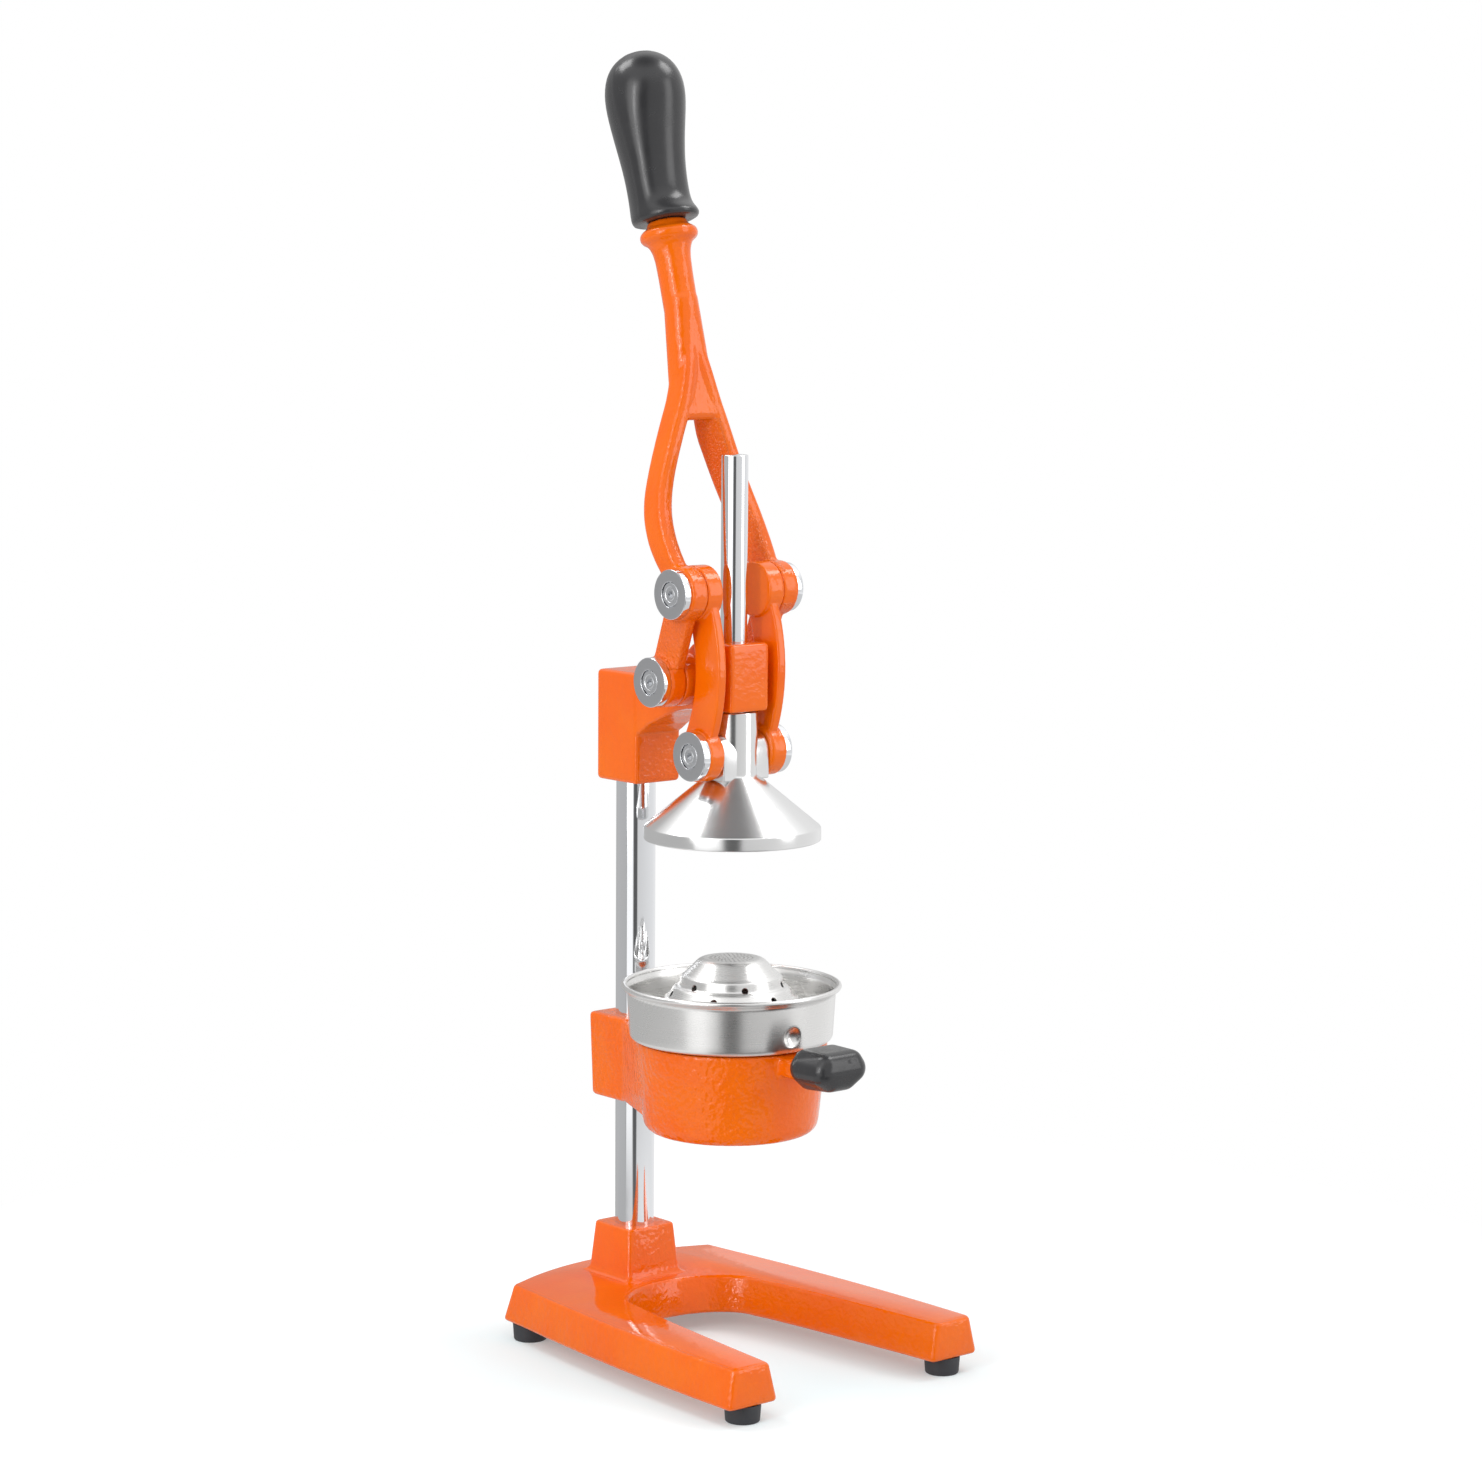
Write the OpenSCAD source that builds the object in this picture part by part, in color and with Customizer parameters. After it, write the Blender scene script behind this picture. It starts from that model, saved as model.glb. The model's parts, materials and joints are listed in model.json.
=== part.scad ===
// Lever citrus juice press: cast base, chrome column, cup carrier, and a forked lever
// that drives a hollow aluminium cone down over a perforated strainer.
// Millimetres. X is across, -Y is the front, +Z is up. The origin is on the ground,
// under the middle of the base.

/* [Base] */
// Depth of the base casting, front to back
base_depth = 240.2; // [232:0.2:246]
// Width of the base casting across its front feet, at the bottom
base_width = 184; // [176:1:190]
// Height of the base's upper face above the ground
base_top_z = 32.6; // [30:0.2:36]
// Height of the rubber feet that show under the base
foot_h = 10.2; // [9:0.2:12]
// Diameter of a rubber foot
foot_d = 20.5; // [18:0.5:22]

/* [Column] */
// Diameter of the chrome column
column_d = 22.8; // [22:0.1:24]
// Distance from the column's axis to the press axis
throat = 87.2; // [86:0.2:89]

/* [Head] */
// Width of the clamping block at the top of the column
head_w = 33; // [32:0.5:35]
// Height of the clamping block's upper face
head_top_z = 388.5; // [387:0.5:390]
// Width of the guide block that the plunger rod slides in
guide_w = 28; // [26:0.5:30]
// Height of the guide block's upper face
guide_top_z = 411.6; // [411:0.2:413]

/* [Linkage] */
// Distance of the lever pivot from the column axis, towards the front
pivot_forward = 65.6; // [65:0.2:66.4]
// Height of the lever pivot
pivot_z = 389.5; // [389:0.2:390]
// Length of the crank, from the lever pivot to the link pins
crank_r = 53.45; // [53:0.1:54]
// Lean of the crank towards the front, with the lever up
crank_lean = 19.1; // [18:0.1:20]
// Length of a link between its two pin centres
link_len = 90.9; // [90:0.1:92]

/* [Plunger] */
// Diameter of the chrome plunger rod
rod_d = 15; // [14:0.5:16]
// Height of the rod's upper end, with the lever up
rod_top_z = 516.3; // [510:1:520]
// Outer diameter of the cone's rim
cone_d = 100; // [96:1:104]

/* [Cup] */
// Outer diameter of the juice bowl's rolled rim
bowl_d = 125; // [122:1:126]
// Height of the bowl's rim
bowl_rim_z = 218; // [217:0.5:219]

/* [Hidden] */
$fn = 96;
hull_fn = 32;
run_gap = 0.05;       // radial clearance of a running fit
part_gap = 0.4;       // air between pieces that pass each other

ORANGE = [0.93, 0.36, 0.03];
CHROME = [0.80, 0.82, 0.84];
STEEL = [0.62, 0.64, 0.66];
BLACK = [0.13, 0.13, 0.14];
ALUMINIUM = [0.78, 0.78, 0.78];
BRASS = [0.72, 0.58, 0.28];

// places along Y
column_y = 77.6;
press_y = column_y - throat;
base_front_y = -base_depth / 2;
base_rear_y = base_depth / 2;

// pivot centres with the lever up, in the YZ plane
P1 = [column_y - pivot_forward, pivot_z];
P2 = P1 + crank_r * [-sin(crank_lean), cos(crank_lean)];
P3 = [press_y, P2[1] - sqrt(link_len * link_len - pow(P2[0] - press_y, 2))];

// layers across the linkage, measured outwards from the middle plane
lug_x = 16.6;                        // outer face of the cone's lugs
eye_x0 = lug_x + part_gap;           // inner face of the link's eyes
shank_x0 = 18.9;                     // inner face of the link's shank
shank_x1 = 24.6;                     // its outer face
link_x1 = 27.5;                      // outer face of the link
boss_x0 = link_x1 + part_gap;        // inner face of the lever's bosses
boss_x1 = 38.3;                      // outer face of the lever's bosses
cap_t = 4.7;                         // thickness of a pin cap
cap_d = 28;
pin_d = 12;
screw_d = 6;
screw_head_d = 13.6;
screw_head_t = 2.2;
screw_reach = 14;                    // depth of a cap screw's thread in its pin

// tubes, bores and other helpers --------------------------------------------------

// a cylinder along X between two distances, centred on a YZ point
module x_rod(x0, x1, d, at = [0, 0]) {
    translate([x0, at[0], at[1]]) rotate([0, 90, 0]) cylinder(d = d, h = x1 - x0);
}

// a side outline in (Y, Z), given thickness along X between two distances
module x_plate(x0, x1) {
    translate([x0, 0, 0]) rotate([90, 0, 90]) linear_extrude(height = x1 - x0) children();
}

// the same pieces on the left of the middle plane
module left_side() { mirror([1, 0, 0]) children(); }

// a box with rounded vertical edges, narrowing upwards by taper on each side
module post(w, d, h, r, taper = 0) {
    hull() for (level = [0, 1]) translate([0, 0, level * (h - 0.01)])
        for (sx = [-1, 1], sy = [-1, 1])
            translate([sx * (w / 2 - level * taper - r), sy * (d / 2 - level * taper - r), 0])
                cylinder(r = r, h = 0.01, $fn = hull_fn);
}

// a rounded block between two corners
module soft_block(low, high, r) {
    hull() for (x = [low[0] + r, high[0] - r], y = [low[1] + r, high[1] - r],
                z = [low[2] + r, high[2] - r])
        translate([x, y, z]) sphere(r = r, $fn = 24);
}

// base -----------------------------------------------------------------------------

tower_top_z = 62.1;
tower_w0 = 38.8;                     // at the foot of the tower
tower_w1 = 34.2;                     // at its top
base_draft_in = 4.6;                 // how much narrower the upper face is at the front
base_h = base_top_z - foot_h;
leg_in_w = 61.5;                     // half width of the notch at the front, upper face
notch_round_y = -59.5 + column_y;    // where the notch's round end starts to close
notch_rear_y = -28.2 + column_y;     // deepest point of the notch, upper face
foot_x_front = 73.7;
foot_x_rear = 67;
foot_y_front = base_front_y + 10.8;
foot_y_rear = column_y + 12.6;
column_foot_z = 26;                  // lower end of the column, on the bolt's washer

// points of a circle's arc from one angle to another, with steps between them
function arc(c, r, a0, a1, n) =
    [for (i = [0 : n]) let (a = a0 + (a1 - a0) * i / n) c + r * [cos(a), sin(a)]];

// right half of the base seen from above, front inner corner first, counter-clockwise.
// grow is how far the wall stands out, which gives the draft of the casting
function base_half(grow) =
    let (front = base_front_y + (1.6 - grow * 0.35),
         outer = base_width / 2 - base_draft_in + grow,
         rear_r = 161, rear_c = base_rear_y - 5.5 + grow * 1.2 - rear_r,
         corner_x = 74 + grow * 0.9, corner_r = 5, notch = grow * 1.1)
    concat(
        arc([leg_in_w - notch + corner_r, front + corner_r], corner_r, 180, 270, 5),
        arc([outer - corner_r, front + corner_r], corner_r, 270, 360, 5),
        [for (i = [1 : 12]) let (t = i / 13)
            [outer - (outer - corner_x) * pow(t, 2.1),
             front + corner_r + (column_y + 14 - front - corner_r) * t]],
        arc([corner_x - 4, column_y + 17 + grow * 1.1], 4, 0, 64, 4),
        [for (i = [1 : 8]) let (x = (corner_x - 4) * (1 - i / 8.0))
            [x, rear_c + sqrt(rear_r * rear_r - x * x)]]);

half_points = 31;                    // points of the inner and of the outer edge of each half

// the notch's edge from the middle plane out to the front, on the right
function notch_half(grow) =
    let (notch = grow * 1.1, rx = 45.5 - notch, ry = notch_round_y - notch_rear_y)
    concat(
        [for (i = [0 : 14]) let (a = 90 - 90 * i / 14)
            [rx * cos(a), notch_round_y - ry * sin(a) - notch * sin(a)]],
        [for (i = [1 : 10]) let (t = i / 11)
            [rx + (leg_in_w - notch - rx) * pow(t, 0.8),
             notch_round_y + (base_front_y + 6 - notch_round_y) * t]]);

function mirrored(points) = [for (i = [len(points) - 1 : -1 : 0]) [-points[i][0], points[i][1]]];

function base_outline(grow) =
    let (right = concat(notch_half(grow), base_half(grow)), left = mirrored(right))
    concat(right, [for (i = [1 : len(left) - 2]) left[i]]);

// the base's outline is hollow at its notch, so its upper and lower faces are strips
// between the inner and the outer edge of each half
function base_strips() =
    let (n = 4 * half_points - 2, outer = 2 * half_points - 1)
    [for (k = [0 : half_points - 2], side = [0, 1])
        let (a = side == 0 ? k : (n - k - 1), b = side == 0 ? k + 1 : (n - k) % n,
             c = side == 0 ? outer - k - 1 : outer + k, d = side == 0 ? outer - k : outer + k + 1)
        each [[a, b, c], [a, c, d]]];

// a closed solid between rings of points, all with the same count, which turn
// counter-clockwise as seen from the last ring. cap lists the faces of its ends
module loft(rings, cap = []) {
    n = len(rings[0]);
    last = len(rings) - 1;
    ends = len(cap) > 0 ? cap : [[for (i = [0 : n - 1]) i]];
    polyhedron(
        points = [for (ring = rings) for (p = ring) p],
        faces = concat(ends,
            [for (k = [0 : last - 1], i = [0 : n - 1])
                [k * n + i, (k + 1) * n + i, (k + 1) * n + (i + 1) % n, k * n + (i + 1) % n]],
            [for (face = ends) [for (i = [len(face) - 1 : -1 : 0]) last * n + face[i]]]),
        convexity = 6);
}

function at_z(points, z) = [for (p = points) [p[0], p[1], z]];

// both solids of one foot position: right and left
module foot_places() {
    for (side = [-1, 1]) {
        translate([side * foot_x_front, foot_y_front, 0]) children();
        translate([side * foot_x_rear, foot_y_rear, 0]) children();
    }
}

module base_casting() color(ORANGE) difference() {
    union() {
        translate([0, 0, foot_h])
            loft([at_z(base_outline(base_draft_in), 0), at_z(base_outline(0), base_h)],
                 base_strips());
        translate([0, column_y, base_top_z - 1])
            post(tower_w0, tower_w0, tower_top_z - base_top_z + 1, 4, (tower_w0 - tower_w1) / 2);
    }
    // seat of the column, and the counterbore of the bolt under it
    translate([0, column_y, column_foot_z - 2]) cylinder(d = column_d, h = 60);
    translate([0, column_y, foot_h - 1]) cylinder(d = 24, h = column_foot_z - foot_h - 1);
    // screw holes over the feet
    foot_places() translate([0, 0, foot_h - 1]) cylinder(d = foot_screw_d, h = 13);
}

foot_screw_d = 5;
foot_bore_d = 11;                    // recess of the screw's head in the foot

module foot(side, x, y) color(BLACK) translate([side * x, y, 0]) difference() {
    cylinder(d1 = foot_d - 1.5, d2 = foot_d, h = foot_h);
    translate([0, 0, -1]) cylinder(d = foot_bore_d, h = 5);
    translate([0, 0, -1]) cylinder(d = foot_screw_d, h = foot_h + 2);
}

module foot_front_left() foot(-1, foot_x_front, foot_y_front);
module foot_front_right() foot(1, foot_x_front, foot_y_front);
module foot_rear_left() foot(-1, foot_x_rear, foot_y_rear);
module foot_rear_right() foot(1, foot_x_rear, foot_y_rear);

module foot_screws() color(STEEL) foot_places() difference() {
    union() {
        translate([0, 0, 4]) cylinder(d = foot_screw_d, h = foot_h + 7);
        translate([0, 0, 1.2]) cylinder(d = 9, h = 2.8);
    }
    translate([0, 0, 0.2]) cylinder(d = 3.4, h = 2.4, $fn = 6);
}

// column ---------------------------------------------------------------------------

column_top_z = head_top_z - 8;
column_bolt_d = 10;

module column() color(CHROME) translate([0, column_y, 0]) difference() {
    translate([0, 0, column_foot_z - 2]) cylinder(d = column_d, h = column_top_z - column_foot_z + 2);
    translate([0, 0, column_foot_z - 3]) cylinder(d = column_bolt_d, h = 33);
}

module column_washer() color(STEEL) translate([0, column_y, column_foot_z - 4]) difference() {
    cylinder(d = 22, h = 2);
    translate([0, 0, -1]) cylinder(d = column_bolt_d + 0.5, h = 4);
}

module column_bolt() color(STEEL) translate([0, column_y, column_foot_z - 4]) difference() {
    union() {
        translate([0, 0, -7]) cylinder(d = 17 / cos(30), h = 7, $fn = 6);
        cylinder(d = column_bolt_d, h = 32);
    }
    translate([0, 0, -8]) cylinder(d = 5, h = 2);
}

// cup ------------------------------------------------------------------------------

pot_top_z = 185.8;                   // the bowl rests on this rim
carrier_top_z = 187;
pot_bottom_z = 133;
pot_r1 = 55;                         // outside, at the top
pot_r0 = 49.6;                       // outside, above the rounded bottom edge
pot_wall = 4;
pot_floor = 5;
pot_edge_r = 7;                      // rounded bottom edge
pot_outlet_r = 22;
carrier_w = 36;
carrier_rear_y = column_y + 19;
carrier_z0 = 137.5;

// the pot's outer form, drawn out to the front of the block that grips the column
module pot_shape() hull() {
    for (step = [0 : 3]) let (a = 30 * step)
        translate([0, press_y, pot_bottom_z + pot_edge_r * (1 - cos(a))])
            cylinder(r = pot_r0 - pot_edge_r * (1 - sin(a)), h = 0.5, $fn = 72);
    translate([0, press_y, pot_top_z - 1]) cylinder(r = pot_r1, h = 1, $fn = 72);
    translate([-carrier_w / 2, column_y - 12.4, carrier_z0])
        cube([carrier_w, 1, pot_top_z - carrier_z0]);
}

module pot_hollow() rotate_extrude() polygon([
    [0, pot_floor], [pot_r0 - pot_wall - 5, pot_floor], [pot_r0 - pot_wall, pot_floor + 5],
    [pot_r1 - pot_wall, pot_top_z - pot_bottom_z - 4], [pot_r1 - pot_wall, pot_top_z], [0, pot_top_z]]);

grip_z = 181;                        // middle height of the pot's grip
stub_z0 = 173.5;                     // the stub that carries it, below the pot's rim
stub_z1 = 184.6;
stud_z = 179;
stub_y1 = press_y - 69;              // where the stub ends and the grip starts

module pot_carrier() color(ORANGE) difference() {
    union() {
        pot_shape();
        // block that grips the column, a little wider at its top
        translate([0, column_y + 3, carrier_z0])
            post(carrier_w, 32, carrier_top_z - carrier_z0, 3, -1.2);
        // stub that carries the grip
        soft_block([-11, stub_y1, stub_z0], [11, press_y - 46, stub_z1], 4);
    }
    translate([0, press_y, pot_bottom_z]) pot_hollow();
    translate([0, press_y, pot_bottom_z - 1]) cylinder(r = pot_outlet_r, h = 20);
    translate([0, column_y, carrier_z0 - 1]) cylinder(d = column_d, h = 80);
    carrier_screw_places(column_y + 8) rotate([-90, 0, 0]) cylinder(d = set_screw_d, h = 14);
    translate([0, stub_y1 - 1, stud_z]) rotate([-90, 0, 0]) cylinder(d = stud_d, h = 14);
}

set_screw_d = 8;
stud_d = 6;
stud_in_grip = 20;                   // length of the stud inside the grip

module carrier_screw_places(y) for (z = [151, 176]) translate([0, y, z]) children();

module set_screw(length) difference() {
    rotate([-90, 0, 0]) cylinder(d = set_screw_d, h = length);
    translate([0, length - 4, 0]) rotate([-90, 0, 0]) cylinder(d = 4.6, h = 5, $fn = 6);
}

module carrier_set_screws() color(STEEL)
    carrier_screw_places(column_y + column_d / 2) set_screw(carrier_rear_y - column_y - column_d / 2 - 1);

// spheres that shape the right half of the grip, wide above and narrow below:
// distance from the middle plane, distance from the stub, height, radius
grip_form = [[13, 6, 6, 6], [12.5, 23.6, 6, 6], [12, 8, 0, 8], [9.5, 22, 0, 8],
             [7, 8, -3, 8], [5, 21, -2.5, 8]];

module pot_grip() color(BLACK) difference() {
    translate([0, stub_y1, grip_z]) hull()
        for (g = grip_form, side = [-1, 1])
            translate([side * g[0], -g[1], g[2]]) sphere(r = g[3], $fn = 24);
    translate([0, stub_y1 - stud_in_grip, stud_z]) rotate([-90, 0, 0])
        cylinder(d = stud_d, h = stud_in_grip + 1);
}

module pot_grip_stud() color(STEEL) translate([0, stub_y1 - stud_in_grip, stud_z])
    rotate([-90, 0, 0]) cylinder(d = stud_d, h = stud_in_grip + 13);

// bowl and strainer: turned from sheet steel
bowl_t = 1;
bowl_rim_r = bowl_d / 2;
bowl_wall_r = 59;
bowl_floor_z = 185;
bowl_outlet_r = 17;                  // outside of the spout under the bowl
spout_z = 160;

bowl_corner_r = 5.5;
bowl_foot_r = bowl_wall_r - 1.4;     // the wall draws in a little towards its foot

module bowl_profile() polygon(concat(
    [[bowl_outlet_r, spout_z], [bowl_outlet_r, bowl_floor_z - 1.5],
     [bowl_foot_r - bowl_corner_r, bowl_floor_z + 1]],
    arc([bowl_foot_r - bowl_corner_r, bowl_floor_z + bowl_corner_r + 1], bowl_corner_r, -80, 0, 6),
    [[bowl_wall_r, bowl_rim_z - 9], [bowl_wall_r + 0.2, bowl_rim_z - 4.6]],
    arc([bowl_rim_r - 1.5, bowl_rim_z - 1.5], 1.5, -60, 180, 10),
    [[bowl_wall_r - 0.8, bowl_rim_z - 4.4], [bowl_wall_r - bowl_t, bowl_rim_z - 9],
     [bowl_foot_r - bowl_t, bowl_floor_z + bowl_corner_r + 1]],
    arc([bowl_foot_r - bowl_corner_r, bowl_floor_z + bowl_corner_r + 1], bowl_corner_r - bowl_t, 0, -80, 6),
    [[bowl_foot_r - bowl_corner_r, bowl_floor_z + 2], [bowl_outlet_r - bowl_t, bowl_floor_z - 0.5],
     [bowl_outlet_r - bowl_t, spout_z]]));

// round dent pressed into the front wall, over the handle
dent_r = 6.9;                        // radius of the punch that pressed it
dent_at = [0, -bowl_wall_r - 3.2, 196];
dent_turn = -4;                      // the bowl lies turned a little to the left

module juice_bowl() color(STEEL) translate([0, press_y, 0]) rotate([0, 0, dent_turn]) difference() {
    union() {
        rotate_extrude() bowl_profile();
        intersection() {
            translate(dent_at) sphere(r = dent_r + bowl_t, $fn = 48);
            translate([0, 0, dent_at[2] - 9]) cylinder(r = bowl_foot_r - 0.5, h = 18);
        }
    }
    translate(dent_at) sphere(r = dent_r, $fn = 48);
}

strainer_t = 1;
strainer_top_z = 232;

// outside of the strainer from its top to its flange: a flat top, a cone and two steps
strainer_line = [[17.4, 232], [19.2, 231], [26.8, 223], [28, 222.2], [29.9, 216.9], [32.2, 216.1],
                 [36, 210.6], [38.2, 209.6], [40.2, 190.4], [42, 188.4], [bowl_wall_r - 10, 188.4]];

module strainer_profile() polygon(concat(
    [[0, strainer_top_z]], strainer_line,
    [for (i = [len(strainer_line) - 1 : -1 : 1])
        let (p = strainer_line[i]) [i > 8 ? p[0] : p[0] - 0.9, p[1] - (i > 8 ? strainer_t : 0.6)]],
    [[16.9, strainer_top_z - strainer_t], [0, strainer_top_z - strainer_t]]));

// rows of six drain holes round the strainer: radius, height, first angle
strainer_rows = [[29.4, 218, 5], [34.8, 212.4, 33.5]];
strainer_hole_d = 3.8;

module strainer() color(STEEL) translate([0, press_y, 0]) difference() {
    rotate_extrude() strainer_profile();
    for (row = strainer_rows, turn = [0 : 60 : 300])
        rotate([0, 0, row[2] + turn]) translate([row[0], 0, row[1]]) rotate([0, 60, 0])
            cylinder(d = strainer_hole_d, h = 8, center = true, $fn = 16);
}

// head -----------------------------------------------------------------------------

head_bottom_z = 324.4;
head_rear_y = column_y + 16.4;
head_front_y = column_y - 20.6;
guide_front_y = press_y - 14.8;
guide_rear_y = press_y + 14.2;
guide_bottom_z = 373.1;
boss_d = 29;                         // cross boss that holds the pivot pin
bush_d = 19;
bush_len = 12;
guide_skin = 3;                      // metal left above the upper bush

// side outline of the arm between the clamping block and the guide block
module arm_outline() polygon(concat(
    [[head_front_y + 6, head_top_z - 1], [head_front_y + 6, 351]],
    [[head_front_y - 2, 354.6], [column_y - 29.6, 359.5], [column_y - 41.8, 365.1],
     [column_y - 55.5, 370.7], [column_y - 64.1, 372.6], [column_y - 72.6, guide_bottom_z]],
    [[guide_rear_y - 4, guide_bottom_z], [guide_rear_y - 4, guide_top_z - 0.4],
     [guide_rear_y + 3, guide_top_z - 1.5], [P1[0] + 4, P1[1] + 13.6],
     [P1[0] + 16, head_top_z - 1]]));

module head_bracket() color(ORANGE) difference() {
    union() {
        soft_block([-head_w / 2, head_front_y, head_bottom_z],
                   [head_w / 2, head_rear_y, head_top_z], 2);
        x_plate(-head_w / 2 + 0.5, head_w / 2 - 0.5) arm_outline();
        soft_block([-guide_w / 2, guide_front_y, guide_bottom_z],
                   [guide_w / 2, guide_rear_y, guide_top_z], 2);
        x_rod(-boss_x0 + part_gap, boss_x0 - part_gap, boss_d, P1);
    }
    translate([0, column_y, head_bottom_z - 1]) cylinder(d = column_d, h = column_top_z - head_bottom_z + 1);
    head_screw_places(column_y + 8) rotate([-90, 0, 0]) cylinder(d = set_screw_d, h = 14);
    x_rod(-40, 40, pin_d, P1);
    // rod bore, wider below the top skin for the two bushes
    translate([0, press_y, guide_bottom_z - 1]) cylinder(d = rod_d + 0.8, h = 60);
    translate([0, press_y, guide_bottom_z - 1])
        cylinder(d = bush_d, h = guide_top_z - guide_skin - guide_bottom_z + 1);
}

module head_screw_places(y) for (z = [340, 370]) translate([0, y, z]) children();

module head_set_screws() color(STEEL)
    head_screw_places(column_y + column_d / 2) set_screw(head_rear_y - column_y - column_d / 2 - 0.5);

module guide_bush(z) color(BRASS) translate([0, press_y, z]) difference() {
    cylinder(d = bush_d, h = bush_len);
    translate([0, 0, -1]) cylinder(d = rod_d + 2 * run_gap, h = bush_len + 2);
}

module guide_bush_upper() guide_bush(guide_top_z - guide_skin - bush_len);
module guide_bush_lower() guide_bush(guide_bottom_z);

// pins, caps and screws of the three pivots -------------------------------------------

module cap(x, at) color(CHROME) difference() {
    x_rod(x, x + cap_t, cap_d, at);
    x_rod(x + cap_t - screw_head_t, x + cap_t + 1, screw_head_d + 0.8, at);
    x_rod(x - 1, x + cap_t, screw_d, at);
}

module cap_screw(x, at, reach = screw_reach) color(STEEL) difference() {
    union() {
        x_rod(x + cap_t - screw_head_t, x + cap_t - 0.4, screw_head_d, at);
        x_rod(x - reach + 2, x + cap_t - screw_head_t, screw_d, at);
    }
    translate([x + cap_t - screw_head_t - 0.8, at[0], at[1]])
        rotate([0, 90, 0]) cylinder(d = 4.6, h = 4, $fn = 6);
}

module drilled_pin(x0, x1, at, reach = screw_reach) color(STEEL) difference() {
    x_rod(x0, x1, pin_d, at);
    x_rod(x1 - reach, x1 + 1, screw_d, at);
}

pivot_face_x = boss_x1 + part_gap;   // seat of the caps beside the turning lever

module pivot_pin() color(STEEL) difference() {
    x_rod(-pivot_face_x, pivot_face_x, pin_d, P1);
    x_rod(pivot_face_x - screw_reach, pivot_face_x + 1, screw_d, P1);
    left_side() x_rod(pivot_face_x - screw_reach, pivot_face_x + 1, screw_d, P1);
}

module pivot_cap_right() cap(pivot_face_x, P1);
module pivot_cap_left() left_side() cap(pivot_face_x, P1);
module pivot_screws() {
    cap_screw(pivot_face_x, P1);
    left_side() cap_screw(pivot_face_x, P1);
}

crank_pin_x0 = 20;                   // inner end of the crank pin, blind in the link
module crank_pin_right() drilled_pin(crank_pin_x0, boss_x1, P2);
module crank_pin_left() left_side() crank_pin_right();
module crank_cap_right() cap(boss_x1, P2);
module crank_cap_left() left_side() crank_cap_right();
module crank_screws() {
    cap_screw(boss_x1, P2);
    left_side() cap_screw(boss_x1, P2);
}

cone_screw_reach = 8;                // these screws end inside the short lower pins
module cone_pin_right() drilled_pin(eye_x0, link_x1, P3, cone_screw_reach);
module cone_pin_left() left_side() cone_pin_right();
module cone_cap_right() cap(link_x1, P3);
module cone_cap_left() left_side() cone_cap_right();
module cone_screw_right() cap_screw(link_x1, P3, cone_screw_reach);
module cone_screw_left() left_side() cone_screw_right();

// lever ----------------------------------------------------------------------------

lever_boss_d = 31;                   // boss round the crank pin
collar_d = 33;
grip_lean = 15.3;                    // lean of the grip's axis to the rear
collar_at = [column_y - 28.1, 636.6];
grip_seat = 8.5;                     // from the collar's middle to the grip's lower face

// the fork's right arm from the crank boss up to the stem: [x, y, z, width, depth, flare],
// where flare is how far the inner face leans in at its rear
fork_path = [
    [33.1, P2[0], P2[1], 10, 16, 0], [33.1, column_y - 77.6, 447.5, 10, 16, 0],
    [33.1, column_y - 74, 453.5, 10, 16, 0.5], [33.6, column_y - 69.8, 460, 10.4, 16.4, 1.5],
    [33.6, column_y - 64.6, 469, 10.8, 16.6, 3], [32.4, column_y - 59.7, 480, 10.8, 16.6, 4],
    [29.8, column_y - 56.2, 491, 10.6, 16.4, 5], [26, column_y - 54, 503, 10.2, 16, 6],
    [21.4, column_y - 52.6, 516, 10, 16, 6.5], [16.2, column_y - 51.6, 530, 10, 16, 6.5],
    [10.4, column_y - 50.6, 545, 10, 16, 3], [6, column_y - 48.6, 560, 10, 16, 0],
    [3, column_y - 45.4, 573, 10, 16, 0]];

function unit(v) = v / norm(v);

// rings of a rounded rectangle (width across X, depth from front to back) along a path
function arm_rings(path, r, steps = 3) =
    let (last = len(path) - 1, at = [for (p = path) [p[0], p[1], p[2]]])
    [for (k = [0 : last])
        let (t = unit(at[min(k + 1, last)] - at[max(k - 1, 0)]),
             side = unit(cross([0, 1, 0], t)), back = unit(cross(t, side)),
             in_x = path[k][3] / 2 - r, in_y = path[k][4] / 2 - r)
        [for (q = [0 : 3], i = [0 : steps])
            let (a = 90 * q + 90 * i / steps, sx = (q == 0 || q == 3) ? 1 : -1, sy = q < 2 ? 1 : -1,
                 lean = q == 1 ? path[k][5] : 0)
            at[k] + (sx * in_x - lean + r * cos(a)) * side + (sy * in_y + r * sin(a)) * back]];

module fork_arm() loft(arm_rings(fork_path, 3.8));

// the stem in its own frame: z runs along the grip's axis from the collar
module at_collar() translate([0, collar_at[0], collar_at[1]]) rotate([-grip_lean, 0, 0]) children();

module stem_solid() {
    at_collar() rotate_extrude() polygon(concat(
        [[0, 8], [11.5, 8], [12.4, 5]],
        [for (p = arc([collar_d / 2 - 4, 0], 4, 80, -80, 10)) p],
        [[12.2, -5.5], [10.6, -10], [9.9, -20], [9.9, -50], [0, -50]]));
}

lower_arm_w = 6.5;

// the lever's crank arm, from the crank boss down to the pivot boss
module crank_arm_outline() hull() {
    translate([P2[0], P2[1]]) circle(d = 21, $fn = hull_fn);
    translate([P1[0], P1[1]]) circle(d = 21, $fn = hull_fn);
}

module half_lever() {
    fork_arm();
    x_rod(boss_x0, boss_x1, lever_boss_d, P2);
    x_rod(boss_x0, boss_x1, boss_d, P1);
    x_plate(boss_x0 + 1, boss_x0 + 1 + lower_arm_w) crank_arm_outline();
}

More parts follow.
